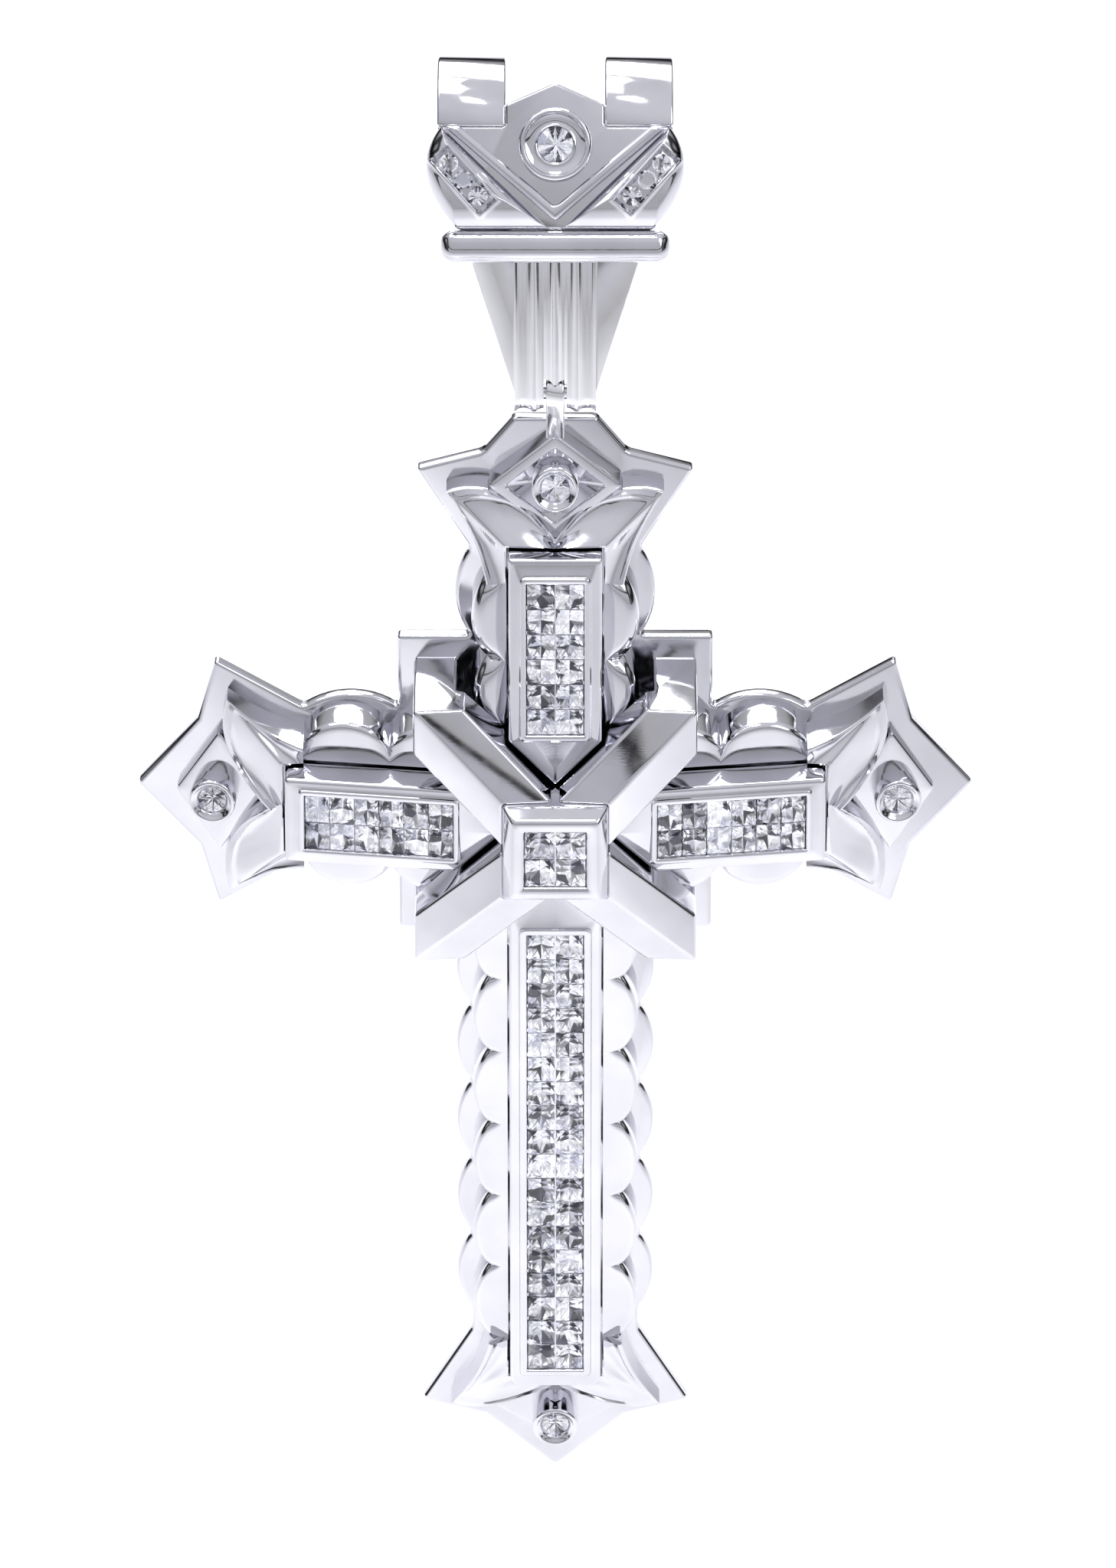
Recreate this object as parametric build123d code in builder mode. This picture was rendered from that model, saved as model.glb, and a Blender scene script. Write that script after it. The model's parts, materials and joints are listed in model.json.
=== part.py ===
"""A large layered cross pendant on a swinging bail, in polished white metal set with square and round stones.

The cross is built in tiers on a flat back plate.  Scalloped arm bodies stand on the plate and carry the four
stone bars, petal caps and tip plates finish the arms, and four roofed rays meet at a stone-set centre block.
The bail is a split loop for a chain, hinged to the top of the cross by a pin.

Frame: the origin is the middle of the crossing on the flat back, +Z points up the cross, the front faces -Y.
"""

from build123d import *
import math
import os

# ---------------------------------------------------------------- driving dimensions, in millimetres
# Centre block and rays
block_half = 3.45
block_step = 0.6  # the block's top is this much narrower all round
block_top_half = block_half - block_step
block_shoulder_height = 11.0
block_top_rise = 1.1
block_height = block_shoulder_height + block_top_rise
block_lip = 0.82  # metal between the centre window and the block's top edge
ray_half_span = block_half - 0.15  # half of a ray's breadth, measured along X or Z
ray_reach = 9.3
ray_ridge_inner = block_shoulder_height - 0.2
ray_ridge_outer = 8.8
ray_roof_drop = 1.2

# Stone bars
bar_half_width = 3.05
bar_point_gap = 0.1  # between the arrow point and the centre block
bar_shoulder = block_half + bar_point_gap + bar_half_width  # where the arrow point begins
bar_seat_height = 3.5  # floor of the slot that a bar stands in
bar_face_rise = 2.8  # bar face above the deck
slot_gap = 0.15  # clearance all round a bar in its slot
bar_edge_round = 0.3
stone_gap = 0.04  # between neighbouring stones
window_clearance = 0.03
stone_crown = 0.16
crown_lean = 52.0  # degrees from upright
stone_depth_share = 0.58  # pavilion depth as a share of the stone's width
pavilion_inset = 0.44  # how far the pavilion draws in, as a share of the width
stone_sink = 0.22  # girdle below the bar's face
rail_width = 0.24
rail_height = 0.35
rail_drop = 0.38  # top of a rail below the girdle
centre_stone = block_top_half - block_lip - window_clearance

# Arm bodies
body_shoulder = 1.3  # metal beside the slot at a notch
body_notch_half = bar_half_width + slot_gap + body_shoulder
body_start = body_notch_half + 0.5  # the core block's half size, where the arm bodies begin
side_body_bulge = 1.6
long_body_bulge = 1.0
deck_height = 5.4  # top of an arm body at the bar's shoulder, above the back
wall = 0.8  # metal left round the hollows in the back
back_hollow_depth = 1.6
ray_underside = deck_height + 0.3
ray_foot_start = body_notch_half + side_body_bulge + 0.35

# Back plate
plate_thickness = 1.1
core_half_width = ray_reach + 1.1  # square panel behind the crossing
core_half_height = ray_reach + 1.65
plate_ledge = 1.1  # how far the plate stands out beyond an arm body
plate_notch_half = body_notch_half + plate_ledge
plate_scallop_bulge = 1.0
star_half_width = 9.1  # star end: outer points
star_point_out = 5.8  # distance of the points past the arm's root
star_notch_out = 7.0
star_tip_out = 11.1
top_flat_half = 2.7  # the top star has its tip cut off below the hinge
top_flat_out = 9.5

# Petal caps, tip plates and their bezels
petal_point_half = star_half_width - 2.0
petal_point_out = star_point_out - 0.8
petal_curve_half = petal_point_half / 2 - 0.05
petal_curve_out = petal_point_out + 0.1
petal_meet_out = 2.4
petal_root_height = 5.6
petal_point_height = 3.0
tip_centre_out = 5.6
tip_half_width = 4.4
tip_fall = 0.12  # the tip plates lean outwards
tip_bevel = 0.35
tip_space_gap = 0.02  # between a tip plate and the petal caps
star_notch_half = tip_half_width + 0.3
bezel_out = tip_centre_out + 0.3
bezel_radius = 1.55
bezel_bore_share = 0.7  # open back of a bezel, as a share of its stone's radius
bezel_lip_round = 0.2
bezel_seat_depth = 0.45
bezel_seat_lean = 38.0  # degrees, of the cone below the stone
bezel_stone_radius = 0.92
round_crown_share = 0.3  # of a round stone's radius
round_crown_lean = 50.0
round_pavilion_share = 0.8
round_pavilion_lean = 48.0

# Hinge
pin_radius = 0.5
pin_running_clearance = 0.05
pin_forward = 3.4  # height of the pin above the back plane, right over the cross's centre of mass
pin_out = 3.0  # from the top star's cut tip
loop_thickness = 1.2
loop_radius = 1.25
loop_foot_length = 0.7  # overlap of the loop's foot and the plate's face
loop_foot_depth = 1.8
knuckle_radius = 1.3
knuckle_gap = 0.15  # each side of the loop
loop_room = 0.3  # between the loop and the neck, all round
strap_room = 3.5  # radius round the pin that the back strap leaves free for the loop's foot

# Bail, in its own upright frame with the pin at the origin
bail_lean = 28.0  # degrees that the bail leans back from the cross
neck_bottom_half = 2.65
neck_top_half = 5.3
neck_flat_half = neck_bottom_half + 0.1
neck_top = 8.15
neck_thickness = 1.1
neck_set_back = 0.9  # the neck's top edge sits this far behind the moulding's front
side_set_back = 0.85  # how far the neck's plain sides fall back at its top
flute_count = 4
flute_depth = 0.25
flute_share = 0.84  # of the pitch that a flute takes up
flute_wrap = 120.0  # degrees that the flutes run on round the knuckle
moulding_half_length = 7.45
moulding_height = 2.1
moulding_top = neck_top + moulding_height
moulding_front = 5.2
moulding_depth = 2.4
moulding_round = 0.95
moulding_end_round = 0.6
shield_thickness = 0.9
shield_front = moulding_front - 0.4
shield_bottom_half = moulding_half_length - 1.15
arm_outer = moulding_half_length + 0.15
arm_inner = 3.2
arm_centre_up = moulding_top + 6.65  # centre of the loop's top curve
slot_bottom_up = arm_centre_up + 1.4
peak_up = arm_centre_up + 2.8
strap_slot_bottom = moulding_top + 1.75
strap_slot_length = 20.0  # long enough to run out of the strap's top
strap_join_up = arm_centre_up - 1.7
chevron_margin = 0.4  # inside the shield's edge
chevron_bottom_up = moulding_top + 0.45
chevron_width = 0.8
chevron_band = 1.3 * chevron_width  # the width measured along the moulding
chevron_height = 0.7
wing_gap = 0.35  # half of the gap between the wings
wing_outer = arm_outer + 0.85
wing_outer_up = arm_centre_up - 2.1
wing_height = 1.5
wing_lap = 0.15  # the wings rise this far past the chevron's outer edge
channel_start = (shield_bottom_half - 1.85, moulding_top + 1.5)
channel_end = (arm_outer - 0.25, arm_centre_up - 1.9)
channel_depth = 0.7
channel_margin = 0.12
side_stone_radius = 0.62
side_stone_count = 3
side_stone_pitch = 1.42
side_stone_sink = 0.3
side_stone_share = 0.8  # the stones' radius in the channel, as a share
bail_bezel_up = arm_centre_up - 1.24
bail_bezel_radius = 2.37
bail_bezel_height = 1.3
bail_stone_radius = 1.15
bail_lip = 0.3
bail_dish_depth = 0.4
bail_dish_lean = 60.0
bail_seat_depth = 0.75
bail_bore_share = 0.5
stone_lift = 0.01  # girdle above the seat's edge


class Arm:
    """One arm of the cross: its plane, with local Y along the arm, and the sizes that differ between arms."""

    def __init__(
        self, name, x_dir, root, bar_overlap, end_height, rows, margins, tip, plate, body, tip_cut=None
    ):
        self.name = name
        self.plane = Plane(origin=(0, 0, 0), x_dir=x_dir, z_dir=(0, -1, 0))
        self.root = root  # where the star end begins
        self.bar_end = root + bar_overlap
        self.fall = (deck_height - end_height) / (self.bar_end - bar_shoulder)  # for each millimetre outwards
        self.rows = rows
        start_margin, end_margin, side_margin = margins  # metal between the stone window and the bar's edges
        self.window_start = bar_shoulder + start_margin
        self.stone_along = (self.bar_end - end_margin - self.window_start) / rows
        self.stone_across = bar_half_width - side_margin
        self.tip_height, self.tip_half_length, self.bezel_height = tip  # height at the tip plate's middle
        self.plate_scallops, plate_gap = plate
        self.plate_end = root - plate_gap  # end of the plate's last scallop
        self.body_first, self.body_scallops, body_gap, self.body_bulge = body
        self.body_end = root - body_gap
        self.body_pitch = (self.body_end - self.body_first) / self.body_scallops
        self.tip_cut = tip_cut

    @property
    def core(self):
        return core_half_width if self.name in ("left", "right") else core_half_height

    @property
    def window_length(self):
        return self.rows * self.stone_along

    @property
    def window_middle(self):
        """The middle of the stone window, measured down the deck from the bar's shoulder."""
        return self.window_start - bar_shoulder + self.window_length / 2

    def slope(self, distance, height, fall):
        """A plane through the point at this distance along the arm and this height above the back.

        It falls outwards by fall for each millimetre, and its local Y runs down the slope.
        """
        origin = self.plane.from_local_coords(Vector(0, distance, height))
        along = (self.plane.y_dir - self.plane.z_dir * fall).normalized()
        return Plane(origin=origin, x_dir=self.plane.x_dir, z_dir=self.plane.x_dir.cross(along))

    def deck(self, rise=0.0):
        """The deck's sloping plane, raised by rise, with its origin at the bar's shoulder."""
        return self.slope(bar_shoulder, deck_height + rise, self.fall)


# Arms: root is the distance from the crossing to the star end; the other lengths follow it.
top_root = 17.4
side_root = 16.6
bottom_root = 42.0
side_arm = dict(
    root=side_root,
    bar_overlap=1.2,
    end_height=3.85,
    rows=6,
    margins=(0.15, 1.21, 1.09),
    tip=(2.3, 2.9, 1.7),
    plate=(1, 0.0),
    body=(body_start + 0.2, 2, 0.0, side_body_bulge),
)
arms = [
    Arm(
        "top",
        (1, 0, 0),
        root=top_root,
        bar_overlap=1.8,
        end_height=3.9,
        rows=6,
        margins=(0.6, 1.56, 1.19),
        tip=(3.3, 3.5, 1.7),
        plate=(1, 0.0),
        body=(body_start + 0.2, 2, 0.8, long_body_bulge),
        tip_cut=top_root + top_flat_out,
    ),
    Arm("left", (0, 0, 1), **side_arm),
    Arm("right", (0, 0, -1), **side_arm),
    Arm(
        "bottom",
        (-1, 0, 0),
        root=bottom_root,
        bar_overlap=1.6,
        end_height=3.74,
        rows=18,
        margins=(1.2, 1.42, 1.19),
        tip=(2.0, 2.9, 2.3),
        plate=(5, 1.5),
        body=(body_start + 2.0, 6, 0.8, long_body_bulge),
    ),
]
pin_up = top_root + top_flat_out + pin_out

pieces = {}


def keep(name, part):
    """Labels a finished piece and remembers it for the export."""
    part.label = name
    pieces[name] = part


def scallops(half, start, count, pitch, bulge):
    """A row of outward arcs along +Y at X = half, for the line that is being drawn."""
    for i in range(count):
        low = start + i * pitch
        ThreePointArc((half, low), (half + bulge, low + pitch / 2), (half, low + pitch))


def mirrored_face(draw_right_half):
    """The half outline that draw_right_half() draws, filled and mirrored across the arm's middle line."""
    with BuildSketch(mode=Mode.PRIVATE) as face:
        with BuildLine():
            draw_right_half()
        make_face()
        mirror(about=Plane.YZ)
    return face.sketch_local


# ---------------------------------------------------------------- tier one: the back plate
def plate_arm_edge(arm):
    """Draws the right half of one arm of the plate, from the middle line round to the middle line."""
    pitch = (arm.plate_end - arm.core) / arm.plate_scallops
    end = arm.tip_cut or arm.root + star_tip_out
    notch = (star_notch_half, arm.root + star_notch_out)
    Line((0, 0), (plate_notch_half, 0))
    Line((plate_notch_half, 0), (plate_notch_half, arm.core))
    scallops(plate_notch_half, arm.core, arm.plate_scallops, pitch, plate_scallop_bulge)
    if arm.root > arm.plate_end:
        Line((plate_notch_half, arm.plate_end), (plate_notch_half, arm.root))
    Line((plate_notch_half, arm.root), (star_half_width, arm.root + star_point_out))
    Line((star_half_width, arm.root + star_point_out), notch)
    if arm.tip_cut:
        Polyline(notch, (top_flat_half, end), (0, end))
    else:
        Line(notch, (0, end))
    Line((0, end), (0, 0))


with BuildPart() as back_plate:
    with BuildSketch(Plane.XZ):
        Rectangle(2 * core_half_width, 2 * core_half_height)
    for arm in arms:
        with BuildSketch(arm.plane):
            add(mirrored_face(lambda: plate_arm_edge(arm)))
    extrude(amount=plate_thickness)
keep("back_plate", back_plate.part)


# ---------------------------------------------------------------- stone bars
def bar_outline(arm, grow=0.0):
    """The bar's five-sided outline: square outer end, arrow point towards the crossing."""
    half = bar_half_width + grow
    point = bar_shoulder - bar_half_width - grow * math.sqrt(2)
    Polygon(
        (-half, arm.bar_end + grow),
        (-half, point + half),
        (0, point),
        (half, point + half),
        (half, arm.bar_end + grow),
        align=None,
    )


def bar_prism(arm, grow, low, high):
    """An upright prism on the bar's outline, for cutting slots."""
    with BuildPart(mode=Mode.PRIVATE) as prism:
        with BuildSketch(arm.plane.offset(low)):
            bar_outline(arm, grow)
        extrude(amount=high - low)
    return prism.part


for arm in arms:
    face = arm.deck(bar_face_rise)
    with BuildPart() as frame:
        with BuildSketch(arm.plane.offset(bar_seat_height)):
            bar_outline(arm)
        extrude(amount=deck_height + 2 * bar_face_rise)
        split(bisect_by=face, keep=Keep.BOTTOM)
        rim = frame.faces().sort_by(Axis.Y)[0]
        fillet(rim.edges(), bar_edge_round)
        window_width = 2 * (arm.stone_across + window_clearance)
        with BuildSketch(face):
            with Locations((0, arm.window_middle)):
                Rectangle(window_width, arm.window_length + 2 * window_clearance)
        extrude(amount=2 * deck_height, both=True, mode=Mode.SUBTRACT)
    keep(f"{arm.name}_bar_frame", frame.part)

    pavilion = stone_depth_share * min(arm.stone_along, arm.stone_across)
    pavilion_lean = math.degrees(math.atan(pavilion_inset / stone_depth_share))
    with BuildPart() as stones:
        for depth, side_lean in ((stone_crown, crown_lean), (-pavilion, pavilion_lean)):
            with BuildSketch(face.offset(-stone_sink)):
                with Locations((0, arm.window_middle)):
                    with GridLocations(arm.stone_across, arm.stone_along, 2, arm.rows):
                        Rectangle(arm.stone_across - stone_gap, arm.stone_along - stone_gap)
            extrude(amount=depth, taper=side_lean)
    keep(f"{arm.name}_bar_stones", stones.part)

    with BuildPart() as rails:
        with BuildSketch(face.offset(-stone_sink - rail_drop)):
            with Locations((0, arm.window_middle)):
                Rectangle(rail_width, arm.window_length + 2 * window_clearance)
                with GridLocations(1, arm.stone_along, 1, arm.rows - 1):
                    Rectangle(2 * arm.stone_across + 2 * window_clearance, rail_width)
        extrude(amount=-rail_height)
    keep(f"{arm.name}_bar_rails", rails.part)


# ---------------------------------------------------------------- tier two: core block and arm bodies
slots = [bar_prism(arm, slot_gap, bar_seat_height, 2 * deck_height) for arm in arms]
with BuildPart() as core_block:
    with BuildSketch(Plane.XZ.offset(plate_thickness)):
        Rectangle(2 * body_start, 2 * body_start)
    extrude(amount=ray_underside - plate_thickness)
    with BuildSketch(Plane.XZ.offset(plate_thickness)):
        Rectangle(2 * (body_start - wall), 2 * (body_start - wall))
    extrude(amount=back_hollow_depth, mode=Mode.SUBTRACT)
    for slot in slots:
        add(slot, mode=Mode.SUBTRACT)
keep("core_block", core_block.part)


def body_edge(arm, inset=0.0):
    """Draws the right half of an arm body, with its scallops, drawn in by inset."""
    half = body_notch_half - inset
    low, high = body_start + inset, arm.body_end - inset
    pitch = (high - max(low, arm.body_first)) / arm.body_scallops
    first = max(low, arm.body_first)
    Line((0, low), (half, low))
    if first > low:
        Line((half, low), (half, first))
    scallops(half, first, arm.body_scallops, pitch, arm.body_bulge)
    Line((half, high), (0, high))
    Line((0, high), (0, low))


for arm, slot in zip(arms, slots):
    with BuildPart() as body:
        with BuildSketch(arm.plane.offset(plate_thickness)):
            add(mirrored_face(lambda: body_edge(arm)))
        extrude(amount=deck_height)
        split(bisect_by=arm.deck(), keep=Keep.BOTTOM)
        with BuildSketch(arm.plane.offset(plate_thickness)):
            add(mirrored_face(lambda: body_edge(arm, wall)))
        extrude(amount=back_hollow_depth, mode=Mode.SUBTRACT)
        add(slot, mode=Mode.SUBTRACT)
    keep(f"{arm.name}_arm_body", body.part)


# ---------------------------------------------------------------- arm ends: tip plates, bezels, petal caps
def tip_plane(arm):
    """The face of the tip plate, through the plate's middle."""
    return arm.slope(arm.root + tip_centre_out, arm.tip_height, tip_fall)


def tip_prism(arm, grow=0.0):
    """The upright square-on-its-corner prism of a tip plate, grown sideways by grow."""
    with BuildPart(mode=Mode.PRIVATE) as prism:
        with BuildSketch(arm.plane.offset(plate_thickness)):
            with Locations((0, arm.root + tip_centre_out)):
                wide, long = tip_half_width + grow, arm.tip_half_length + grow
                Polygon((-wide, 0), (0, long), (wide, 0), (0, -long), align=None)
        extrude(amount=2 * deck_height)
    return prism.part


def loop_blank(grow=0.0):
    """The hanging loop before it is bored: a ring round the pin, drawn down to a foot on the plate's face."""
    foot_middle = (-plate_thickness - loop_foot_depth / 2, arms[0].tip_cut - loop_foot_length / 2)
    with BuildPart(mode=Mode.PRIVATE) as blank:
        with BuildSketch(Plane.YZ):
            with Locations((-pin_forward, pin_up)):
                Circle(loop_radius)
            with Locations(foot_middle):
                Rectangle(loop_foot_depth, loop_foot_length)
            make_hull()
        extrude(amount=loop_thickness / 2 + grow, both=True)
    return blank.part


def round_stone(plane, radius):
    """A round stone on a plane at its girdle: a short crown above, a cone below."""
    with BuildPart(mode=Mode.PRIVATE) as stone:
        with BuildSketch(plane):
            Circle(radius)
        extrude(amount=round_crown_share * radius, taper=round_crown_lean)
        with BuildSketch(plane):
            Circle(radius)
        extrude(amount=-round_pavilion_share * radius, taper=round_pavilion_lean)
    return stone.part


for arm in arms:
    face = tip_plane(arm)
    blank = tip_prism(arm)
    loop = loop_blank(loop_room)
    with BuildPart() as tip:
        add(blank)
        split(bisect_by=face, keep=Keep.BOTTOM)
        chamfer(tip.faces().sort_by(Axis.Y)[0].edges(), tip_bevel)
        if arm.tip_cut:
            add(loop, mode=Mode.SUBTRACT)
    keep(f"{arm.name}_tip_plate", tip.part)

    seat = arm.slope(arm.root + bezel_out, arm.tip_height - tip_fall * (bezel_out - tip_centre_out), tip_fall)
    stone_seat = seat.offset(arm.bezel_height - bezel_seat_depth)
    with BuildPart() as bezel:
        with BuildSketch(seat):
            Circle(bezel_radius)
            Circle(bezel_bore_share * bezel_stone_radius, mode=Mode.SUBTRACT)
        extrude(amount=arm.bezel_height)
        rim = bezel.edges().filter_by(GeomType.CIRCLE).group_by(Axis.Y)[0].sort_by(SortBy.RADIUS)[-1]
        fillet(rim, bezel_lip_round)
        for depth, lean in ((bezel_seat_depth, 0), (-bezel_seat_depth, bezel_seat_lean)):
            with BuildSketch(stone_seat):
                Circle(bezel_stone_radius + window_clearance)
            extrude(amount=depth, taper=lean, mode=Mode.SUBTRACT)
    keep(f"{arm.name}_bezel", bezel.part)
    keep(f"{arm.name}_bezel_stone", round_stone(stone_seat, bezel_stone_radius))


def petal_edge(arm):
    """Draws the right half of a petal cap: root, point, and the curve back to the middle line."""
    point = (petal_point_half, arm.root + petal_point_out)
    meet = (0, arm.root + petal_meet_out)
    Line((0, arm.body_end), (body_notch_half, arm.body_end))
    Line((body_notch_half, arm.body_end), point)
    ThreePointArc(point, (petal_curve_half, arm.root + petal_curve_out), meet)
    Line(meet, (0, arm.body_end))


for arm, slot in zip(arms, slots):
    fall = (petal_root_height - petal_point_height) / (arm.root + petal_point_out - arm.body_end)
    slope = arm.slope(arm.body_end, petal_root_height, fall)
    tip_space = tip_prism(arm, tip_space_gap)
    with BuildPart() as petals:
        with BuildSketch(arm.plane.offset(plate_thickness)):
            add(mirrored_face(lambda: petal_edge(arm)))
        extrude(amount=2 * petal_root_height)
        split(bisect_by=slope, keep=Keep.BOTTOM)
        add(tip_space, mode=Mode.SUBTRACT)
        add(slot, mode=Mode.SUBTRACT)
    keep(f"{arm.name}_petal_cap", petals.part)


# ---------------------------------------------------------------- centre block
with BuildPart() as block:
    with BuildSketch(Plane.XZ.offset(ray_underside)):
        Rectangle(2 * block_half, 2 * block_half)
    extrude(amount=block_shoulder_height - ray_underside)
    with BuildSketch(Plane.XZ.offset(block_shoulder_height)):
        Rectangle(2 * block_half, 2 * block_half)
    lean = math.degrees(math.atan((block_half - block_top_half) / (block_height - block_shoulder_height)))
    extrude(amount=block_height - block_shoulder_height, taper=lean)
    window = 2 * (centre_stone + window_clearance)
    with BuildSketch(Plane.XZ.offset(ray_underside)):
        Rectangle(window, window)
    extrude(amount=block_height, mode=Mode.SUBTRACT)
keep("centre_block", block.part)

centre_lean = math.degrees(math.atan(pavilion_inset / stone_depth_share))
with BuildPart() as centre_stones:
    for depth, side_lean in ((stone_crown, crown_lean), (-stone_depth_share * centre_stone, centre_lean)):
        with BuildSketch(Plane.XZ.offset(block_height - stone_sink)):
            with GridLocations(centre_stone, centre_stone, 2, 2):
                Rectangle(centre_stone - stone_gap, centre_stone - stone_gap)
        extrude(amount=depth, taper=side_lean)
keep("centre_stones", centre_stones.part)

with BuildPart() as centre_rails:
    with BuildSketch(Plane.XZ.offset(block_height - stone_sink - rail_drop)):
        Rectangle(window, rail_width)
        Rectangle(rail_width, window)
    extrude(amount=-rail_height)
keep("centre_rails", centre_rails.part)


# ---------------------------------------------------------------- rays
def ray(sx, sz):
    """One roofed ray towards the corner (sx, sz), with its foot on the back plate."""
    inner = block_half - ray_half_span
    outer = ray_reach - ray_half_span
    corners = [
        (block_half, inner),
        (ray_reach, outer),
        (ray_reach, ray_reach),
        (outer, ray_reach),
        (inner, block_half),
        (block_half, block_half),
    ]
    ridge_run = (ray_reach - block_half) * math.sqrt(2)
    fall = (ray_ridge_inner - ray_ridge_outer) / ridge_run
    eave = ray_half_span / math.sqrt(2)
    start = Vector(sx * block_half, -ray_ridge_inner, sz * block_half)
    along = Vector(sx, fall * math.sqrt(2), sz).normalized()
    with BuildPart(mode=Mode.PRIVATE) as made:
        with BuildSketch(Plane.XZ.offset(ray_underside)):
            Polygon(*[(sx * x, sz * z) for x, z in corners], align=None)
        extrude(amount=ray_ridge_inner)
        foot = (ray_foot_start + ray_reach) / 2
        with BuildSketch(Plane.XZ.offset(plate_thickness)):
            with Locations((sx * foot, sz * foot)):
                Rectangle(ray_reach - ray_foot_start, ray_reach - ray_foot_start)
        extrude(amount=ray_underside - plate_thickness)
        for side in (1, -1):
            across = Vector(-sz * side * eave, ray_roof_drop, sx * side * eave)
            normal = along.cross(across)
            normal = normal if normal.Y < 0 else normal * -1
            split(bisect_by=Plane(origin=start, x_dir=along, z_dir=normal), keep=Keep.BOTTOM)
    return made.part


for height_name, sz in (("upper", 1), ("lower", -1)):
    for side_name, sx in (("left", -1), ("right", 1)):
        keep(f"ray_{height_name}_{side_name}", ray(sx, sz))


# ---------------------------------------------------------------- hinge: loop on the cross, pin in the bail
blank = loop_blank()
with BuildPart() as hanging_loop:
    add(blank)
    with Locations(Location((0, -pin_forward, pin_up), (0, 90, 0))):
        Cylinder(pin_radius + pin_running_clearance, 2 * loop_thickness, mode=Mode.SUBTRACT)
keep("hanging_loop", hanging_loop.part)

lean = math.radians(bail_lean)
bail = Plane(origin=(0, -pin_forward, pin_up), x_dir=(1, 0, 0), z_dir=(0, -math.cos(lean), math.sin(lean)))
profile = Plane(origin=bail.origin, x_dir=bail.z_dir, z_dir=(-1, 0, 0))  # local X forwards, local Y up

with BuildPart() as hinge_pin:
    with BuildSketch(profile):
        Circle(pin_radius)
    extrude(amount=neck_bottom_half, both=True)
keep("hinge_pin", hinge_pin.part)


# ---------------------------------------------------------------- bail
pin_axis = Axis(bail.origin, (1, 0, 0))
neck_front_top = moulding_front - neck_set_back
neck_span = math.hypot(neck_front_top, neck_top)
neck_lean = math.atan2(neck_front_top, neck_top) - math.asin(knuckle_radius / neck_span)
out, up = math.cos(neck_lean), math.sin(neck_lean)  # the face's normal in the bail's profile is (out, -up)
neck_face = Plane(
    origin=profile.from_local_coords(Vector(knuckle_radius * out, -knuckle_radius * up, 0)),
    x_dir=(1, 0, 0),
    z_dir=profile.x_dir * out - profile.y_dir * up,
)
neck_run = math.sqrt(neck_span**2 - knuckle_radius**2)
flute_pitch = 2 * neck_flat_half / flute_count
flute_half = flute_share * flute_pitch / 2
flute_radius = (flute_depth**2 + flute_half**2) / (2 * flute_depth)
with BuildPart() as neck:
    with BuildSketch(profile):
        inner = knuckle_radius - neck_thickness
        Polygon(
            (inner * out, -inner * up),
            (knuckle_radius * out, -knuckle_radius * up),
            (neck_front_top, neck_top),
            (neck_front_top - neck_thickness / out, neck_top),
            align=None,
        )
    extrude(amount=neck_top_half, both=True)
    with BuildSketch(bail):
        Polygon(
            (-neck_bottom_half, -knuckle_radius),
            (-neck_bottom_half, 0),
            (-neck_top_half, neck_top),
            (neck_top_half, neck_top),
            (neck_bottom_half, 0),
            (neck_bottom_half, -knuckle_radius),
            align=None,
        )
    extrude(amount=2 * neck_front_top, both=True, mode=Mode.INTERSECT)
    for side in (1, -1):
        foot = neck_face.from_local_coords(Vector(side * neck_flat_half, 0, 0))
        top = neck_face.from_local_coords(Vector(side * neck_flat_half, neck_run, 0))
        back = neck_face.from_local_coords(Vector(side * neck_top_half, neck_run, -side_set_back))
        normal = (top - foot).cross(back - foot) * side
        split(bisect_by=Plane(origin=foot, x_dir=top - foot, z_dir=normal * -1), keep=Keep.BOTTOM)
    with BuildSketch(profile):
        Circle(knuckle_radius)
    extrude(amount=neck_bottom_half, both=True)
    flute_line = Plane(origin=neck_face.origin, x_dir=(1, 0, 0), z_dir=neck_face.y_dir)
    with BuildSketch(flute_line) as flutes:
        with Locations((0, flute_depth - flute_radius)):
            with GridLocations(flute_pitch, 1, flute_count, 1):
                Circle(flute_radius)
    extrude(amount=neck_run, mode=Mode.SUBTRACT)
    revolve(flutes.sketch, axis=pin_axis, revolution_arc=flute_wrap, mode=Mode.SUBTRACT)
    with BuildSketch(profile):
        Circle(pin_radius)
    extrude(amount=neck_top_half, both=True, mode=Mode.SUBTRACT)
    with BuildSketch(profile):
        Circle(loop_radius + loop_room)
    extrude(amount=loop_thickness / 2 + knuckle_gap, both=True, mode=Mode.SUBTRACT)
keep("bail_neck", neck.part)

with BuildPart() as moulding:
    with BuildSketch(profile):
        with Locations((moulding_front - moulding_depth / 2, (neck_top + moulding_top) / 2)):
            RectangleRounded(moulding_depth, moulding_height, moulding_round)
    extrude(amount=moulding_half_length, both=True)
    fillet(moulding.faces().filter_by(Axis.X).edges(), moulding_end_round)
keep("bail_moulding", moulding.part)

with BuildPart() as shield:
    with BuildSketch(bail.offset(shield_front - shield_thickness)):
        Polygon(
            (-shield_bottom_half, moulding_top),
            (-arm_outer, arm_centre_up),
            (-arm_inner, arm_centre_up),
            (-arm_inner, slot_bottom_up),
            (0, peak_up),
            (arm_inner, slot_bottom_up),
            (arm_inner, arm_centre_up),
            (arm_outer, arm_centre_up),
            (shield_bottom_half, moulding_top),
            align=None,
        )
    extrude(amount=shield_thickness)
keep("bail_shield", shield.part)

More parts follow.
